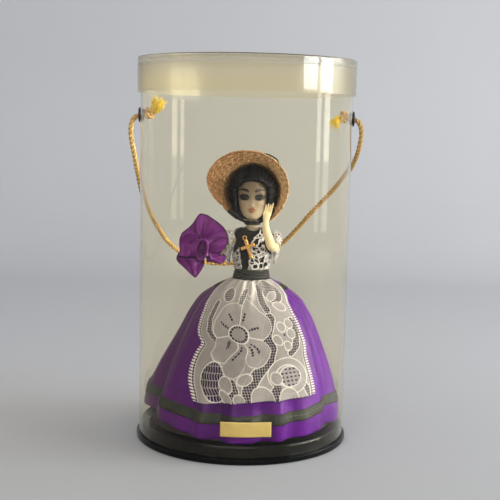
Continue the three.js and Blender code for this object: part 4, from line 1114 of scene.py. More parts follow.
def waist_ribbon():
    """Sash: a flared band with slanting pleats, closed inside."""
    turn, v = np.meshgrid(circle(240), np.linspace(0, 1, 40))
    radius = table(v, [[0, 10.0], [0.1, 9.9], [0.4, 9.5], [0.75, 9.1], [1, 8.9]])
    pleat = 0.26 * np.sin(TAU * (3.1 * v + 0.5 * np.sin(turn + 0.6) + 0.3 * np.sin(2.3 * turn)))
    radius = radius + pleat * np.sin(np.pi * v) ** 0.5
    piece = closed_band("waist_ribbon", turn, 0.3 + 4.7 * v, radius, mix(1, 0.94, v), 7.6, 6)
    return fit(piece, "stand", SASH, "ribbon_dark", "waist_sash")


def shoulder_gap(points, radius, drop=0.0):
    """Distance outside the two arm holes, each set forward and down from its shoulder by the drop."""
    away = np.hypot(points[..., 1] - SHOULDER[1] + drop, points[..., 2] - SHOULDER[2] + drop) - radius
    return np.where(np.abs(points[..., 0] - LEAN) > 4, away, 9)


def side_swell(turn):
    """Cloth stands further off at the body's sides than at its front and back."""
    return 1 + 0.22 * np.sin(turn) ** 2


def velvet_bodice():
    """Bodice cut round the arm holes, with a heart-shaped neckline."""
    turns, heights = np.linspace(-np.pi, np.pi, 241), np.linspace(BODICE_LOW, 27, 90)
    turn, z = np.meshgrid(turns, heights)
    from_middle = np.degrees(turn) - 4
    neckline = 26.6 - 1.1 * bump(from_middle, 0, 24) + 0.3 * bump(np.abs(from_middle), 36, 14)
    field = np.minimum(neckline - z, shoulder_gap(torso_point(turn, z, BODICE_OFF), 3.6))

    def place(turn, z):
        nap = 0.05 * wander(40 * turn, 5 * z, 2)
        return torso_point(turn, z, (BODICE_OFF + nap) * side_swell(turn)), {}

    piece = cut_piece("velvet_bodice", turns, heights, field, place, 0.7)
    return fit(piece, "stand", VELVET, "velvet_black", "bodice")


def looped_lace(x, y, cell, thread, full, seed):
    """Loops of thread: half the difference of the distances to the two nearest of many scattered points.

    One point sits in each square cell, shifted by sines of the cell's numbers. A share of cells is filled.
    """
    cx, cy = np.floor(x / cell), np.floor(y / cell)
    near, second, filled = np.full(x.shape, 1e9), np.full(x.shape, 1e9), np.zeros(x.shape)
    for i in (-1, 0, 1):
        for j in (-1, 0, 1):
            a, b = cx + i, cy + j
            shift = np.sin(a * 127.1 + b * 311.7 + seed) * 43758.5453
            other = np.sin(a * 269.5 + b * 183.3 + seed) * 24634.6345
            px, py = (a + 0.12 + 0.76 * (shift % 1)) * cell, (b + 0.12 + 0.76 * (other % 1)) * cell
            d = np.hypot(x - px, y - py)
            closer = d < near
            second = np.where(closer, near, np.minimum(second, d))
            filled = np.where(closer, (shift * 7.3) % 1 < full, filled)
            near = np.where(closer, d, near)
    gap = (second - near) / 2
    return np.where(filled > 0, 0.6, thread - gap), bump(gap, thread * 0.5, thread * 0.5)


# Turns in degrees of the two panels' inner edges by the share of the bodice's height.
LEFT_LACE_EDGE = [[0, -9], [0.37, -4.5], [0.56, -2], [0.8, 8], [0.94, 26], [1, 34]]
RIGHT_LACE_EDGE = [[0, -37], [0.37, -39], [0.6, -46], [0.8, -64], [0.94, -84], [1, -92]]
# Millimetres of bodice for each degree, the cut's step, the thread's thickness and the flat map's scale.
LACE_ARC, FINE_STEP, THREAD_THICK, LACE_FLAT = 0.157, 0.2, 0.28, 0.02


def bodice_lace(name, node, inner, back, dense, seed):
    """One lace panel over the bodice, from its scalloped inner edge round to the back."""
    reach = np.array([row[1] for row in inner] + [back])
    xs = np.arange(reach.min() - 6, reach.max() + 6, FINE_STEP / LACE_ARC)
    ys = np.arange(BODICE_LOW, 26.4, FINE_STEP)
    side = np.sign(back)

    def pattern(degrees, z):
        edge = (degrees - table((z - 5.2) / 21.0, inner)) * side * LACE_ARC
        edge = edge + 0.6 * np.abs(np.sin(z * 0.95 + seed))
        tail = (back - degrees) * side * LACE_ARC
        across, up = degrees * LACE_ARC, z + 0.8 * np.sin(degrees * 0.07)
        wide_x = across + 40 + 0.7 * wander(across, up, seed)
        wide_y = up + 0.7 * wander(up, across, seed + 1)
        wide, rim = looped_lace(wide_x, wide_y, 3.1, 0.3, 0.06, seed)
        fine_x = across + 60 + 0.5 * wander(1.3 * across, up, 9)
        fine = looped_lace(fine_x, up, 1.9, 0.24, 0.1, seed + 3)[0]
        loops = np.maximum(wide, np.minimum(fine, wander(0.55 * across, 0.5 * up, seed + 4)))
        loops = np.maximum(loops, 0.7 * ease(dense * side * degrees, 26, 60) + wide - 0.2)
        loops = np.maximum(loops, np.maximum(0.4 - np.abs(edge - 0.5), 0.5 - (z - BODICE_LOW)))
        over = torso_point(np.radians(degrees), z, 1.7)
        away = np.minimum(shoulder_gap(over, 5.6), shoulder_gap(over, 5.6, 1.3))
        return np.minimum(np.minimum(loops, np.minimum(edge, tail)), np.minimum(away, 26.3 - z)), rim

    def place(degrees, z):
        rim = pattern(degrees, z)[1]
        turn = np.radians(degrees)
        off = (1.72 + 0.2 * rim + 0.1 * wander(degrees / 8, z, seed)) * side_swell(turn)
        return torso_point(turn, z, off), {"cord": 0.3 + 0.7 * rim}

    field = pattern(*np.meshgrid(xs, ys))[0]
    piece = cut_piece(name, xs, ys, field, place, THREAD_THICK, flat=(LACE_FLAT, LACE_FLAT))
    return fit(piece, "stand", LACE, "lace_white", node)


# Arms from the shoulder, as on the doll's left: x, y, z, half width and half depth.
LEFT_ARM = np.array([
    [9.9, 0, 0, 1.8, 1.8], [10.8, -0.2, -0.1, 2.2, 2.2], [11.9, -2.6, -1.0, 2.35, 2.35],
    [11.9, -6.4, -2.0, 2.3, 2.3], [11.2, -9.8, -2.2, 2.4, 2.4], [9.8, -12.8, -0.6, 2.45, 2.45],
    [8.7, -14, 2.8, 2.3, 2.3], [7.2, -14.6, 7.4, 1.95, 1.95], [6.9, -14.8, 11.6, 1.45, 1.4],
    [7.1, -14.9, 13.6, 1.75, 1.3], [7.5, -14.9, 15.6, 1.95, 1.1], [7.8, -14.9, 16.8, 1.75, 0.85],
])
RIGHT_ARM = np.array([
    [9.9, 0, 0, 1.8, 1.8], [10.9, -0.1, -0.2, 2.3, 2.3], [12.4, -1, -1.2, 2.5, 2.5],
    [15.4, -2.8, -3.8, 2.5, 2.5], [18.6, -4.6, -4.8, 2.3, 2.3], [21.6, -6.2, -4, 1.9, 1.9],
    [23.6, -6.8, -2.8, 1.5, 1.45], [25.4, -7.2, -1.6, 1.8, 1.3], [27, -7.5, -0.6, 1.95, 1.1],
    [28, -7.6, 0, 1.7, 0.85],
])
PEG = np.array([[4.8, 0, 0, 1.5, 1.5], [7, 0, 0, 1.5, 1.5], [10, 0, 0, 1.5, 1.5], [12, 0, 0, 1.5, 1.5]])
FINGER_REACH = [0.8, 0.98, 0.94, 1.16]


def limb(path, start, end, sides, count):
    """Rings of an ellipse along a path of [x, y, z, half width, half depth], closed at both ends.

    The width lies along a direction that goes from start to end along the limb.
    """
    fine = route(path, count)
    centre = fine[:, :3]
    turning = ease(np.linspace(0, 1, count), 0.25, 0.75)[:, None]
    side, front = frames(centre, mix(np.asarray(start, float), np.asarray(end, float), turning))
    return capped(centre, sweep(centre, side, front, circle(sides), fine[:, 3:4], fine[:, 4:]))


def fingers(base, along, across, spread, length, thumb):
    """Four fingers side by side and a thumb, each a tapered limb from inside the palm."""
    base, along, across = (np.asarray(v, float) for v in (base, along, across))
    t = np.array([0, 0.3, 0.6, 0.88, 1.0])[:, None]
    girth = np.array([0.58, 0.53, 0.47, 0.4, 0.2])[:, None]
    paths = []
    for i, share in enumerate(FINGER_REACH):
        root = base + across * spread * (i - 1.5) - along * 1.4
        reach = length * share + 1.4
        curl = np.array([0, -0.6 - 0.15 * i, 0])
        line = root + along * reach * t + curl * t * t + across * 0.2 * (i - 1.5) * t
        paths.append(np.concatenate([line, girth, girth], 1))
    heel = base - along * 3.6 + across * thumb * spread * 1.2
    line = heel + along * 3.6 * t + across * thumb * spread * t + np.array([0, -0.5, 0]) * t
    paths.append(np.concatenate([line, girth * 1.1, girth * 1.1], 1))
    return [limb(path, across, across, 14, 14) for path in paths]


def fuse(piece, voxel, soften):
    """Joins a piece's overlapping shells into one skin and softens it."""
    join = piece.modifiers.new("join", "REMESH")
    join.mode, join.voxel_size, join.use_smooth_shade = "VOXEL", voxel * MM, True
    soft = piece.modifiers.new("soften", "SMOOTH")
    soft.factor, soft.iterations = 0.5, soften
    bpy.context.view_layer.update()
    mesh = bpy.data.meshes.new_from_object(piece.evaluated_get(bpy.context.evaluated_depsgraph_get()))
    piece.modifiers.clear()
    piece.data = mesh
    return piece


def arm_piece(word, mirror, arm, hand, end):
    """Arm, hand and shoulder peg joined into one moulded limb."""
    up = (0, 0, 1)
    points, faces, total = [], [], 0
    for shell in [limb(arm, up, end, 36, 110), limb(PEG, up, up, 24, 16), *hand]:
        rows, cols = shell.shape[:2]
        points.append(shell.reshape(-1, 3))
        faces.append(weave_faces(rows, cols, wrap_cols=True)[0] + total)
        total += rows * cols
    points = np.concatenate(points) * [mirror, 1, 1] + SHOULDER
    piece = fuse(make_piece(f"{word}_moulded_arm", points, np.concatenate(faces)), 0.14, 4)
    return fit(piece, f"{word}_arm", ARM_SKIN, "skin_plastic", f"{word}_arm")


# The sleeve's radius and its way out from the shoulder, by the length along it.
SLEEVE_RADIUS = [
    [0, 4.85], [0.9, 4.9], [2.2, 6.2], [4.2, 6.8], [6.4, 6.4], [8.6, 4.9], [10.6, 2.4], [12.4, 0.2],
]
SLEEVE_OUT = [[0, 0], [0.9, 0.45], [2.2, 1.1], [4.2, 2.3], [6.4, 3.8], [8.6, 4.9], [10.6, 5.4], [12.4, 5.5]]
SLEEVE_LONG, SLEEVE_GIRTH = 12.4, 6.4


def sleeve_point(turn, s, offset, mirror, seed):
    """Point of a sleeve by the turn from its top and the length along it, with gathers.

    It hangs down below and is pressed flat above.
    """
    low = bump(turn, np.pi, 0.75)
    top = bump((turn + np.pi) % TAU, np.pi, 0.9)
    gather = 0.42 * np.sin(12 * turn + seed + 0.5 * np.sin(3 * turn)) * np.sin(np.pi * np.clip(s / 9, 0, 1))
    puff = 1 + 0.75 * low * ease(s, 0.4, 3.4) - 0.26 * top * ease(s, 0.9, 3.0)
    radius = table(s, SLEEVE_RADIUS) * puff + gather + 0.25 * wander(4 * turn, s / 2, seed) + offset
    x = 10.2 + table(s, SLEEVE_OUT) * (1 - 0.6 * low) + 0.9 * low * ease(s, 0.3, 2)
    x = x + 0.3 * wander(3 * turn, s / 3, seed + 1) * ease(s, 1, 5)
    return np.stack([mirror * x, radius * np.sin(turn), radius * np.cos(turn)], -1)


def lace_sleeve(word, mirror, arm, seed):
    """Gathered lace puff round the top of the arm, cut where the arm comes through."""
    turns, lengths = np.linspace(0, TAU, 241), np.arange(0, SLEEVE_LONG, FINE_STEP)
    path = route(arm, 60)
    path[:, 0] *= mirror

    def pattern(turn, s):
        cloth = sleeve_point(turn, s, 0.0, mirror, seed)
        apart = (np.linalg.norm(cloth[..., None, :] - path[:, :3], axis=-1) - path[:, 3] - 0.3).min(-1)
        loops, rim = looped_lace(turn * SLEEVE_GIRTH, s, 2.6, 0.36, 0.3, seed)
        loops = np.maximum(loops, 0.4 - np.abs(apart - 0.35))
        return np.minimum(loops, apart), rim

    def place(turn, s):
        rim = pattern(turn, s)[1]
        return sleeve_point(turn, s, 0.2 * rim, mirror, seed) + SHOULDER, {"cord": 0.3 + 0.7 * rim}

    field = pattern(*np.meshgrid(turns, lengths))[0]
    flat = (SLEEVE_GIRTH * LACE_FLAT, LACE_FLAT)
    piece = cut_piece(f"{word}_lace_puff", turns, lengths, field, place, THREAD_THICK, 0.0, flat)
    return fit(piece, f"{word}_arm", LACE, "lace_white", f"{word}_sleeve")


moulded_torso()
velvet_bodice()
waist_ribbon()
for word, edge, back, dense, seed, wide, area in (
    ("left", LEFT_LACE_EDGE, 174, 1, 2.0, 0.0285, 0.00046),
    ("right", RIGHT_LACE_EDGE, -174, 0, 5.0, 0.0225, 0.00027),
):
    panel = bodice_lace(f"{word}_bodice_lace", f"{word}_lace", edge, back, dense, seed)
left_hand = fingers((7.8, -14.9, 16.8), (0.2, 0, 0.98), (0.98, 0, -0.2), 0.96, 4.6, -1)
right_hand = fingers((28, -7.6, 0), (0.82, -0.12, 0.55), (-0.55, 0, 0.82), 0.92, 3.4, 1)
arm_piece("left", 1, LEFT_ARM, left_hand, (1, 0, 0))
arm_piece("right", -1, RIGHT_ARM, right_hand, (-0.5, 0, 0.85))
for word, mirror, arm, seed, area in (
    ("left", 1, LEFT_ARM, 3.0, 0.00032),
    ("right", -1, RIGHT_ARM, 7.0, 0.00035),
):
    puff = lace_sleeve(word, mirror, arm, seed)


# Head, hair and bonnet

# Rings of the head: height, half width, front depth and back depth.
HEAD_SHAPE = np.array([
    [19.8, 3.2, 3.2, 3.2], [24, 3.25, 3.25, 3.25], [28.2, 3.3, 3.3, 3.3], [30.2, 3.5, 3.6, 3.8],
    [31.2, 3.9, 6.2, 4.2], [31.9, 4.5, 8.0, 4.9], [33.6, 6.0, 8.9, 6.2], [37, 7.2, 9.2, 8],
    [41, 8, 9.1, 9.2], [45, 8.4, 9.1, 9.8], [49, 8.4, 8.8, 9.7], [52.6, 7.4, 7.7, 8.8], [55.6, 5, 5.4, 6.2],
    [56.8, 2.4, 2.6, 3], [57, 0, 0, 0],
])
EYE_SIDE, EYE_HEIGHT, EYE_HALF, MOUTH_HEIGHT = 3.9, 42.9, 2.45, 36.7
FACE_SHIFT = 0.55
# Forms of the face on both sides: how far each stands out, its side, height, half width and half height.
FACE_PAIRS = [
    (0.3, 3.8, EYE_HEIGHT + 3.4, 2.8, 1.1), (0.5, EYE_SIDE, EYE_HEIGHT - 0.1, 1.9, 0.95),
    (-0.65, EYE_SIDE, EYE_HEIGHT + 0.2, 2.5, 1.7), (0.15, 0.95, 39.1, 0.6, 0.6), (0.5, 4.6, 39.2, 2.4, 2.4),
    (0.36, 0.8, MOUTH_HEIGHT + 0.5, 1.2, 0.45),
]
# Forms on the face's middle: how far each stands out, its height, half width and half height.
FACE_MIDDLE = [
    (0.42, 39.6, 1.1, 1.0), (0.4, MOUTH_HEIGHT + 0.1, 2.8, 1.9), (0.45, MOUTH_HEIGHT - 0.6, 1.6, 0.55),
    (-0.24, MOUTH_HEIGHT - 0.03, 2.0, 0.18), (0.5, 33.2, 2.2, 1.3),
]
BROW_LINE = [[1.4, 46.2], [2.4, 46.7], [4.2, 47.15], [5.6, 47.1], [6.8, 46.9]]
BROW_HALF = [[1.4, 0.45], [2.2, 0.78], [4.2, 0.62], [6.8, 0.16]]


def face_form(x, z):
    """How far the face stands out from the plain head: bell curves for brow, eyes, nose, lips and chin."""
    form = 0.22 * bump(x, 0, 1.2) * ease(z, 45.4, 40.8) * ease(z, 37.9, 39.6)
    for out, side, height, half_x, half_z in FACE_PAIRS:
        form = form + out * bump(np.abs(x), side, half_x) * bump(z, height, half_z)
    for out, height, half_x, half_z in FACE_MIDDLE:
        form = form + out * bump(x, 0, half_x) * bump(z, height, half_z)
    return form


def soft_edge(distance, half=0.16):
    """1 inside an outline and 0 outside it, with a soft edge."""
    return ease(-distance, -half, half)


def face_paint(x, z, front):
    """Paint on the face: skin with painted shade, blush, lips, brows, eyes with painted shade and a painted
    highlight, and lashes, each laid on by a soft mask.
    """
    ax = np.abs(x)
    blush = 0.3 * bump(ax, 4.8, 1.9) * bump(z, 39.2, 1.7)
    bow = MOUTH_HEIGHT + 1.25 + 0.2 * bump(ax, 0.75, 0.5) - 0.26 * ax**2
    upper_lip = np.maximum(z - bow, MOUTH_HEIGHT - 0.05 * ax - z)
    lower_lip = np.maximum(z - MOUTH_HEIGHT + 0.05 * ax, MOUTH_HEIGHT - 1.6 + 0.32 * ax**2 - z)
    lip_line = np.abs(z - MOUTH_HEIGHT + 0.03 * ax) - 0.08
    brow = np.abs(z - table(ax, BROW_LINE)) - table(ax, BROW_HALF)
    eye_x, eye_z = ax - EYE_SIDE, z - EYE_HEIGHT
    on_eye = np.abs(eye_x) < EYE_HALF
    arc = np.sqrt(np.clip(1 - (eye_x / EYE_HALF) ** 2, 0, 1))
    white = np.where(on_eye, np.maximum(eye_z - 1.35 * arc, -eye_z - 1.15 * arc), 1)
    iris = np.hypot(eye_x + 0.05, eye_z - 0.05) - 1.45
    upper_lid = np.abs(eye_z - 1.35 * arc - 0.05) - 0.5
    flick = np.abs(eye_z - 0.15 - 0.36 * (eye_x - 1.8)) - 0.4 * ease(3.9 - eye_x, 0, 1.8)
    lower_lid = np.abs(eye_z + 1.17 * arc + 0.03) - 0.2
    layers = [
        (blush, (164, 112, 92)),
        (0.85 * soft_edge(upper_lip, 0.4), (148, 90, 70)),
        (0.85 * soft_edge(lower_lip, 0.4), (158, 100, 78)),
        (0.6 * soft_edge(lip_line) * (ax < 2.1), (122, 66, 52)),
        (soft_edge(brow, 0.24) * ease(ax, 1.3, 1.8) * (ax < 6.8), (38, 26, 22)),
        # Grey eyeshadow round the eye, which also stands for painted shade in the socket.
        (0.68 * bump(eye_x, 0.1, 2.9) * bump(eye_z, 0.3, 1.7), (58, 52, 50)),
        (soft_edge(white), (64, 64, 66)),
        (soft_edge(np.maximum(iris, white)), (20, 22, 27)),
        (soft_edge(np.maximum(iris + 0.65, white)), (10, 11, 14)),
        (soft_edge(upper_lid) * on_eye, (12, 10, 11)),
        (soft_edge(flick) * (eye_x > 1.6) * (eye_x < 3.9), (12, 10, 11)),
        (0.85 * soft_edge(lower_lid) * on_eye, (26, 22, 22)),
        # Painted highlight: a pale spot on the iris, above its middle.
        (soft_edge(np.hypot(eye_x + 0.4, eye_z - 0.5) - 0.16), (104, 105, 107)),
    ]
    # Painted shade: the skin is darker than the arms, and darker still toward the forehead, for the brim's
    # shade.
    low, high = np.array(colour(172, 156, 136)[:3]), np.array(colour(106, 93, 80)[:3])
    skin = mix(low, high, ease(z, 34, 50)[..., None])
    for mask, tint in layers:
        share = np.clip(mask * front, 0, 1)[..., None]
        skin = skin * (1 - share) + np.array(colour(*tint)[:3]) * share
    return skin


def spans(ends, counts):
    """Even steps between each two of several ends, with its own count for each span."""
    parts = [np.linspace(a, b, n)[:-1] for a, b, n in zip(ends[:-1], ends[1:], counts)]
    return np.concatenate([*parts, ends[-1:]])


def painted_head():
    """Head on its neck plug: rings of its shape, finer at the front, with the face's form and paint."""
    at = spans([0.0, 3.0, 6.0, 10.6, 14.0], [10, 40, 170, 40])
    rows = curve(at, np.arange(len(HEAD_SHAPE)), HEAD_SHAPE)
    rows[:, 1:] = np.maximum(rows[:, 1:], 0)
    s = np.linspace(-1, 1, 330, endpoint=False)
    points = ring_rows(np.pi * (0.5 * s + 0.5 * s**3), rows)
    x, y, z = np.moveaxis(points, -1, 0)
    front = ease(-y, 1.0, 4.5)
    paint = face_paint(x + FACE_SHIFT, z, front)
    points[..., 1] -= face_form(x + FACE_SHIFT, z) * front
    bottom = 0 * points[:1] + [0, 0, HEAD_SHAPE[0, 0]]
    marks = {"paint": np.concatenate([paint[:1], paint])}
    piece = grid_piece("painted_head", UPPER + np.concatenate([bottom, points]), wrap_cols=True, marks=marks)
    return fit(piece, "head", SKIN, "skin_plastic", "head")


# Ovals of the hair: share of the way back, half width, half height, height of the middle and depth.
HAIR_RINGS = np.array([
    [0, 7.6, 9.5, 42.4, -3.4], [0.05, 8.0, 9.9, 42.2, -5.2], [0.1, 8.5, 10.3, 42.1, -6.2],
    [0.16, 9.2, 10.9, 42.2, -6.6], [0.24, 10.4, 11.8, 43.0, -5.8], [0.36, 12.1, 13.0, 44.3, -3.2],
    [0.5, 13.1, 13.8, 45.2, 0.8], [0.6, 13.2, 13.8, 45.3, 3.4], [0.75, 11.9, 12.4, 45.3, 8.2],
    [0.88, 8.2, 8.6, 45.3, 12.2], [0.96, 3.6, 3.8, 45.3, 14.1], [1, 0, 0, 45.3, 14.3],
])


def combed_hair():
    """Hair cap: ovals from the hairline round to the back, with combed locks.

    The oval's size grows by a wandering field that is long along the comb and short across it. Its top is
    squared over the forehead, and two locks hang down to the jaw.
    """
    t = spans([0.0, 0.3, 1.0], [60, 80])
    half, tall, middle, y = np.moveaxis(curve(t, HAIR_RINGS[:, 0], HAIR_RINGS[:, 1:]), -1, 0)[..., None]
    a, s = np.meshgrid(circle(380), t)
    flow = a + 0.25 * np.sin(2 * a) * s
    comb_x, comb_y = np.cos(flow), np.sin(flow)
    locks = 0.4 * wander(13 * comb_x + 3 * s, 13 * comb_y, 1) + 0.24 * wander(30 * comb_x, 30 * comb_y, 4)
    hang = 3.2 * (bump(a, math.radians(228), 0.3) + bump(a, math.radians(312), 0.3)) * bump(s, 0.22, 0.16)
    grow = (locks * ease(s, 0.0, 0.12) * np.minimum(1, half / 4) - 0.2 + hang) * (half > 0.01)
    square = 1 - 0.42 * (1 - ease(s, 0.12, 0.4)) * ease(np.sin(a), 0, 0.3)
    forward = 3.3 * (1 - ease(s, 0.12, 0.42)) * ease(np.sin(a), 0.25, 0.8)
    across = np.sign(np.cos(a)) * np.abs(np.cos(a)) ** square
    up = np.sign(np.sin(a)) * np.abs(np.sin(a)) ** square
    x = np.maximum(0, half + grow) * across - FACE_SHIFT * (1 - ease(s, 0.05, 0.3))
    z = middle + np.maximum(0, tall + grow) * up - 0.15 * forward
    points = np.stack([x, y - forward, z], -1)
    strand = np.clip(0.22 + 0.5 * wander(30 * comb_x, 30 * comb_y + 2 * s, 6), 0, 1)
    inner = 0 * points[:1] + [0, 4, 44]
    marks = {"strand": np.concatenate([strand[:1], strand])}
    piece = grid_piece("combed_hair", UPPER + np.concatenate([inner, points]), wrap_cols=True, marks=marks)
    return fit(piece, "head", HAIR, "hair_black", "hair")


# Reach of the brim by the turn in degrees.
BRIM_REACH = [
    [-51, 17.4], [-13, 17.8], [8, 18.9], [35, 19.6], [63, 20.2], [95, 21.2], [120, 23.1], [141, 24.5],
    [165, 24.6], [178, 22.4], [190, 20], [205, 17.2], [219, 16.4], [270, 16.2], [309, 17.4],
]


# The crown's radius, its depth and the brim's flare, by the way from the crown's back to the brim's edge.
CROWN_RADIUS = [
    [0, 0], [0.08, 3.6], [0.2, 8.2], [0.32, 12], [0.42, 14.4], [0.5, 15.3], [0.58, 15.4], [1, 15.4],
]
CROWN_DEPTH = [
    [0, 15.5], [0.08, 15.3], [0.2, 14.0], [0.32, 11.2], [0.42, 7.6], [0.5, 3.4], [0.58, 0.2], [0.7, -1.8],
    [0.85, -3.8], [1, -5.1],
]
BRIM_FLARE = [[0, 0], [0.56, 0], [0.62, 0.1], [0.7, 0.3], [0.85, 0.68], [1, 1]]
BONNET_SIDE, BONNET_HEIGHT = -0.3, 45.8
PLAIT_WIDE, STRAW_COUNT, BONNET_COLS = 1.7, 76, 441


def round_bonnet(turn, radius, y):
    """Points about the bonnet's axis by the turn from the wearer's left toward the top."""
    return np.stack([BONNET_SIDE + radius * np.cos(turn), y, BONNET_HEIGHT + radius * np.sin(turn)], -1)


def bonnet_point(turn, s):
    """Middle of the straw by the turn and the way from the crown's back to the brim's edge."""
    start = BRIM_REACH[0][0]
    reach = table((np.degrees(turn) - start) % 360 + start, BRIM_REACH)
    flare = table(s, BRIM_FLARE)
    radius = mix(table(s, CROWN_RADIUS), reach, flare)
    return round_bonnet(turn, radius, table(s, CROWN_DEPTH) + 0.5 * np.sin(2 * turn + 0.6) * flare)


def sheet_normals(points):
    """Unit normals of a grid of points from its two differences."""
    across = np.roll(points, -1, 1) - np.roll(points, 1, 1)
    normal = np.cross(across, np.gradient(points, axis=0))
    return normal / np.maximum(1e-9, np.linalg.norm(normal, axis=-1, keepdims=True))


def bilinear(grid, x, y):
    """Values of a grid at fractional columns and rows."""
    row = np.clip(y.astype(int), 0, grid.shape[0] - 2)
    col = np.clip(x.astype(int), 0, grid.shape[1] - 2)
    down, over = (y - row)[:, None], (x - col)[:, None]
    upper = mix(grid[row, col], grid[row, col + 1], over)
    return mix(upper, mix(grid[row + 1, col], grid[row + 1, col + 1], over), down)


def straw_bonnet():
    """Bonnet of sewn straw plait: rows round the crown and brim, each with straws that slant to both sides.

    It is cut out over the neck. Its plait mark has painted light and shade: the brim lighter on the wearer's
    left, darker between the rows.
    """
    ways = spans([0.0, 0.5, 1.0], [48, 84])
    turn, s = np.meshgrid(np.linspace(0, TAU, BONNET_COLS), ways)
    base = bonnet_point(turn, s)
    length = np.cumsum(np.linalg.norm(np.diff(base, axis=0, prepend=base[:1]), axis=-1), 0)
    row = (length[-1:] - length) / PLAIT_WIDE
    number, within = np.floor(row), row % 1
    bulge = np.sqrt(np.abs(np.sin(np.pi * within)))
    slant = turn / TAU * STRAW_COUNT + np.minimum(within, 1 - within) * 1.1 + 0.5 * number
    straw = np.abs(np.sin(np.pi * (slant + 0.3 * wander(7 * turn, 2 * number, 2)))) ** 0.7
    girth = np.hypot(base[..., 0] - BONNET_SIDE, base[..., 2] - BONNET_HEIGHT)
    lift = 0.2 * bulge + 0.75 * straw * bulge + 0.2 * wander(26 * turn, 3 * row, 3) - 0.5
    points = base + sheet_normals(base) * (lift * np.clip(girth / 8, 0, 1))[..., None]
    frill = (0.5 * straw - 0.3) * ease(s, 0.93, 1.0)
    points[..., (0, 2)] += frill[..., None] * np.stack([np.cos(turn), np.sin(turn)], -1)
    # Painted light: the brim is lighter on the wearer's left and darker on its right.
    painted_side_light = 0.08 + 0.24 * np.cos(turn) * ease(s, 0.55, 0.75)
    # Painted shade: the plait darkens toward the grooves between the rows.
    plait = painted_side_light + 0.62 * straw * bulge + 0.14 * bulge + 0.3 * wander(40 * turn, 4 * row, 5)
    plait = np.clip(plait, 0, 1)[..., None]
    gap = np.hypot(points[..., 0], points[..., 2] - 30.5) - 9
    gap = np.where(gap > 0, np.maximum(gap, 0.02), np.minimum(gap, -0.02))

    def place(col, row):
        return UPPER + bilinear(points, col, row), {"plait": bilinear(plait, col, row)[..., 0]}

    cols, rows = np.arange(BONNET_COLS, dtype=float), np.arange(len(ways), dtype=float)
    flat = (1 / BONNET_COLS, 1 / len(ways))
    piece = cut_piece("straw_bonnet", cols, rows, gap, place, 0.9, 0.0, flat)
    return fit(piece, "head", STRAW, "straw", "hat")


def bonnet_ribbon():
    """Ribbon round the crown with a loop that stands up beside the brim."""
    turn, v = np.meshgrid(np.radians(np.linspace(-56, 236, 240)), np.linspace(0, 1, 8))
    degrees = np.degrees(turn)
    loop = 4.6 * np.exp(-(((degrees - 62) / 19) ** 4))
    radius = 16.5 + loop + 0.12 * np.sin(9 * turn)
    points = round_bonnet(turn, radius, 1.2 + 3.4 * v - 0.5 * bump(degrees, 60, 12))
    piece = thicken(grid_piece("bonnet_ribbon", UPPER + points, outward=False), 0.8, 0.0)
    return fit(piece, "head", TIE, "ribbon_dark", "hat_ribbon")


def neck_ribbon():
    """Choker: a narrow closed band round the neck with a soft fold."""
    turn, v = np.meshgrid(circle(96), np.linspace(0, 1, 12))
    radius = 4.15 + 0.22 * np.sin(np.pi * v) + 0.08 * np.sin(TAU * 2 * v + turn)
    piece = closed_band("neck_ribbon", turn, 28.35 + 1.8 * v, radius, 1.0, 3.6, 3)
    return fit(piece, "head", TIE, "ribbon_dark", "choker")


def chin_tie(word, mirror, start):
    """Ribbon end from the bonnet's edge along the jaw to the choker, folded along its middle."""
    path = route([*start, [-6.2, -6.5, 31.6], [-3.4, -3.5, 29.9]], 60)
    out, side = frames(path, (-0.35, -0.9, -0.3))
    u = np.linspace(-1, 1, 13)[:, None]
    wide = np.linspace(1.35, 0.85, 60)[:, None, None]
    fold = 0.25 * (1 - u**2) + 0.08 * np.sin(9 * u)
    points = path[:, None] + side[:, None] * u * wide + out[:, None] * fold
    points = points * [mirror, 1, 1] + UPPER
    piece = thicken(grid_piece(f"{word}_chin_tie", points, outward=False), 0.35, 0.0)
    return fit(piece, "head", TIE, "ribbon_dark", f"{word}_tie")


def straw_ends():
    """Loose straw ends at the brim's edge on the wearer's left and at its top: thin tapered blades."""
    rng = np.random.default_rng(4)
    count, on_top = 90, 24
    turn = np.radians(np.concatenate([rng.uniform(76, 92, on_top), rng.uniform(-45, 110, count - on_top)]))
    root = bonnet_point(turn, np.full(count, 0.985))
    out = np.stack([np.cos(turn), rng.uniform(-0.4, 0.3, count), np.sin(turn)], -1)
    out = unit(out + rng.normal(0, 0.28, (count, 3)))
    reach = (rng.uniform(0.5, 1.1, count) + 0.7 * (np.arange(count) < on_top))[:, None, None]
    t = np.linspace(0, 1, 6)[:, None]
    path = root[:, None] + out[:, None] * reach * t
    side = unit(np.cross(out, rng.normal(0, 1, (count, 3))))
    thick = 0.16 * (1 - t**2)
    thick[0] = 0
    points = sweep(path, side[:, None], np.cross(out, side)[:, None], circle(5), thick, thick)
    piece = bundle_piece("straw_ends", UPPER + points, "plait", np.full(count, 0.8))
    return fit(piece, "head", STRAW, "straw")


painted_head()
combed_hair()
straw_bonnet()
straw_ends()
bonnet_ribbon()
neck_ribbon()
chin_tie("right", 1, [[-12.7, -6.7, 36.2], [-9.6, -7.3, 34]])
chin_tie("left", -1, [[-11.4, -2.2, 36.0], [-9.2, -5.6, 34]])


# Ribbon flower


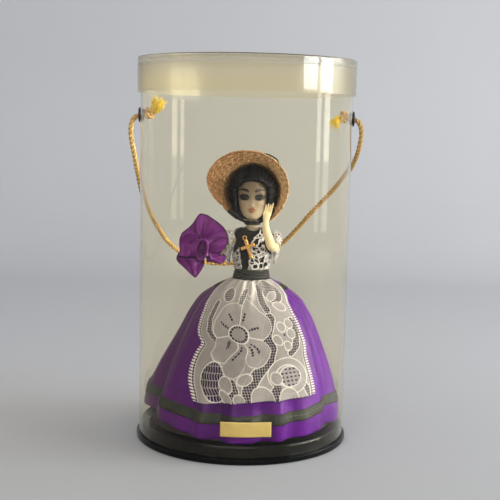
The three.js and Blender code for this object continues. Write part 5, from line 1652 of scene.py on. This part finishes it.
def petal_cloth(word, flat, depth):
    """A petal from its flat grid of (x, z) and its depth toward the front, with its selvage marked."""
    rows, cols = flat.shape[:2]
    points = np.stack([flat[..., 0], -depth, flat[..., 1]], -1) + FLOWER
    u, v = np.meshgrid(np.linspace(-1, 1, cols), np.linspace(0, 1, rows))
    hem = np.maximum(ease(np.abs(u), 0.9, 0.96), ease(v, 0.93, 0.97))
    piece = thicken(grid_piece(f"petal_{word}_ribbon", points, marks={"hem": hem}, outward=False), 0.4, 0.0)
    return fit(piece, "right_arm", PETAL_SATIN, "petal_plum", f"petal_{word}")


def fan_petal(word, hub, rim, layer, cup, ripple, waves):
    """Fan of ribbon: straight lines from a gathered hub to a rim given by its turn and reach.

    It bellies forward, and its folds run out from the hub.
    """
    rim = np.asarray(rim, float)
    turn = np.linspace(rim[0, 0], rim[-1, 0], 110)
    reach = curve(turn, rim[:, 0], rim[:, 1])
    v = np.linspace(0.04, 1, 60)[:, None]
    u = np.linspace(0, 1, 110)[None]
    a = np.radians(turn)[None] + 0.06 * np.sin(5 * v + 9 * u)
    flat = np.stack([hub[0] + v * reach * np.cos(a), hub[1] + v * reach * np.sin(a)], -1)
    swell = 1.5 * np.sin(np.pi * v**0.8) * (0.6 + 0.4 * np.sin(np.pi * u))
    pleat = ripple * v**0.7 * np.sin(waves * np.pi * u + 0.7 + 1.2 * v)
    gather = 0.45 * (1 - v) * v**0.5 * np.sin(3 * waves * np.pi * u)
    depth = layer + cup * v**1.6 + swell + pleat + gather + 0.22 * wander(11 * u, 4 * v, layer)
    return petal_cloth(word, flat, depth)


def strip_petal(word, left, right, layer, cup):
    """Length of ribbon between two edge curves, rounded across and folded along."""
    edges = [route(np.pad(edge, ((0, 0), (0, 1))), 70)[:, None, :2] for edge in (left, right)]
    u = np.linspace(0, 1, 50)[None]
    v = np.linspace(0, 1, 70)[:, None]
    flat = mix(edges[0], edges[1], u[..., None])
    fold = 0.9 * np.sin(2.6 * np.pi * v + 2.5 * u)
    fold = fold + 0.55 * np.sin(4.4 * np.pi * u + 2 * v) * np.sin(np.pi * u)
    depth = layer + cup * np.sin(np.pi * u) + fold + 0.25 * wander(6 * u, 7 * v, layer)
    return petal_cloth(word, flat, depth)


def flower_centre():
    """Oval loop at the flower's middle: a flattened ball hollowed on its face, which leaves a rolled rim."""
    turn, rise = np.meshgrid(circle(96), np.linspace(0, np.pi, 72))
    r = np.sin(rise)
    x, y, z = 3.4 * r * np.cos(turn), 2.3 * r * np.sin(turn), -6.0 * np.cos(rise)
    face = y < 0
    inside = np.clip(1.15 - np.hypot((x + 0.35) / 2.6, z / 5.2), 0, 1)
    hollow = 3.0 * ease(inside, 0, 0.7) + 0.3 * bump(x, 0.9, 0.4) * r
    y = y + np.minimum(hollow, 1.2 - y) * face
    points = np.stack([x + 0.5 * np.sin(z * 0.35) + 0.6, y - 6.6, z - 1.0], -1) + FLOWER
    # Painted shade: the hem mark darkens the hollow on the loop's face.
    marks = {"hem": 0.55 * ease(inside, 0.1, 0.6) * face}
    piece = grid_piece("flower_centre", points, wrap_cols=True, marks=marks)
    return fit(piece, "right_arm", PETAL_SATIN, "petal_plum", "flower_bud")


TOP_RIM = [
    [-6, 14.6], [7, 14.2], [21, 13.7], [40, 12.9], [60, 12.6], [82, 13.3], [98, 13.3], [107, 11.3],
    [116, 9.8], [132, 8.9], [146, 9.4], [160, 10.8],
]
RIGHT_RIM = [[-70, 5.4], [-28, 6.8], [0, 8.2], [18, 10.6], [32, 12.1], [61, 7.2], [100, 5.7]]
LOW_RIM = [[-78, 3.0], [-38, 5.4], [-20, 9.0], [-8, 10.3], [6, 9.4]]
TAIL_EDGES = [
    [(-11.9, -3.6), (-12.9, -7.0), (-8.5, -12.2), (-3.2, -16.5)],
    [(-2.8, -4.8), (1.4, -7.2), (0.8, -11.0), (-2.4, -16.2)],
]
LEFT_EDGES = [
    [(-8.6, 7.9), (-10.8, 5.2), (-11.5, 1.2), (-11.1, -2.8), (-12.4, -5.6)],
    [(-1.9, 6.6), (-1.5, 3.0), (-1.6, 0.0), (-1.6, -3.0), (-1.4, -5.8)],
]

tail_petal = strip_petal("tail", *TAIL_EDGES, 0.6, 1.2)
top_petal = fan_petal("top", (-0.3, 3.4), TOP_RIM, 0.8, 0.9, 0.9, 6.0)
right_petal = fan_petal("right", (3.0, -1.9), RIGHT_RIM, 3.4, 0.8, 0.9, 4.0)
left_petal = strip_petal("left", *LEFT_EDGES, 3.0, 1.5)
low_petal = fan_petal("low", (2.5, -5.0), LOW_RIM, 2.4, 0.6, 0.6, 3.0)
flower_centre()
PLAIN_NODES = {"cross_pendant": GILT, "cross_stitch": TIE, "flower_stem": TIE, "skirt_cone": DARK_SHADE_CARD}
for node, finish in PLAIN_NODES.items():
    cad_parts[node].data.materials.clear()
    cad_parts[node].data.materials.append(finish)


# Stage and light


def stage_paint():
    """Pale table paint that turns into a lighter wall paint toward the back, both a little uneven."""
    finish = new_finish("table_paint")
    tree = finish[1]
    tone, height = use_group(tree, GRAIN, 20.0)
    place = put(tree, "ShaderNodeSeparateXYZ", {0: own_place(tree)})
    back = put(tree, "ShaderNodeMapRange", {"Value": place.outputs[1], "From Min": -0.1, "From Max": 0.2})
    table_tone = blend_colour(tree, tone, colour(191, 190, 189), colour(199, 198, 197))
    wall_tone = blend_colour(tree, tone, colour(200, 200, 202), colour(208, 208, 210))
    base = blend_colour(tree, back.outputs[0], table_tone, wall_tone)
    return dress(finish, base, tone, (0.6, 0.8), height, 0.5, 0.05)


def pale_stage():
    """Pale table that rises into a pale wall through a quarter circle behind the object, in metres."""
    turn = np.linspace(0, np.pi / 2, 60)
    y = np.concatenate([np.linspace(-1.6, 0.55, 12), 0.55 + 0.25 * np.sin(turn), np.full(8, 0.8)])
    z = np.concatenate([np.zeros(12), 0.25 * (1 - np.cos(turn)), np.linspace(0.27, 1.9, 8)])
    x = np.linspace(-1.8, 1.8, 24)
    points = np.stack(np.broadcast_arrays(x[None], y[:, None], z[:, None]), -1) / MM
    ground = grid_piece("pale_table", points, outward=False)
    ground.data.materials.append(stage_paint())


def soft_lamp(name, place, aim, size, power, tint=(1, 1, 1)):
    """Rectangular soft lamp that faces a point, in metres."""
    light = bpy.data.lights.new(name, "AREA")
    light.shape = "RECTANGLE"
    light.size, light.size_y = size
    light.energy = power
    light.color = tint
    lamp = bpy.data.objects.new(name, light)
    lamp.matrix_world = facing(place, aim)
    scene.collection.objects.link(lamp)


def studio_light():
    """Panes and slits at the right for the case's gloss, sheets at the right and front, an even world."""
    world = bpy.data.worlds.new("pale_room")
    world.use_nodes = True
    background = world.node_tree.nodes["Background"]
    background.inputs["Color"].default_value = (0.99, 0.99, 1.0, 1)
    background.inputs["Strength"].default_value = 0.44
    scene.world = world
    for name, x, y in (("right_pane_near", 0.916, -0.402), ("right_pane_far", 0.999, -0.047)):
        soft_lamp(name, (x, y, 0.275), (0, 0, 0.24), (0.295, 0.11), 3.2, (0.85, 0.93, 1.0))
    for name, x, y, wide in (("right_slit_near", 0.988, -0.155, 0.1), ("right_slit_far", 1.0, 0.054, 0.15)):
        for word, z, glow in (("high", 0.17, 2.6), ("low", 0.07, 0.9)):
            soft_lamp(f"{name}_{word}", (x, y, z), (0, 0, 0.14), (wide, 0.1), glow * wide, (1.0, 0.97, 0.86))
    soft_lamp("right_sheet", (1.45, 0.25, 0.75), (0, 0, 0.12), (1.2, 1.0), 6.4)
    soft_lamp("front_sheet", (-0.3, -1.5, 0.9), (0, 0, 0.12), (1.6, 0.9), 9.0)


pale_stage()
studio_light()
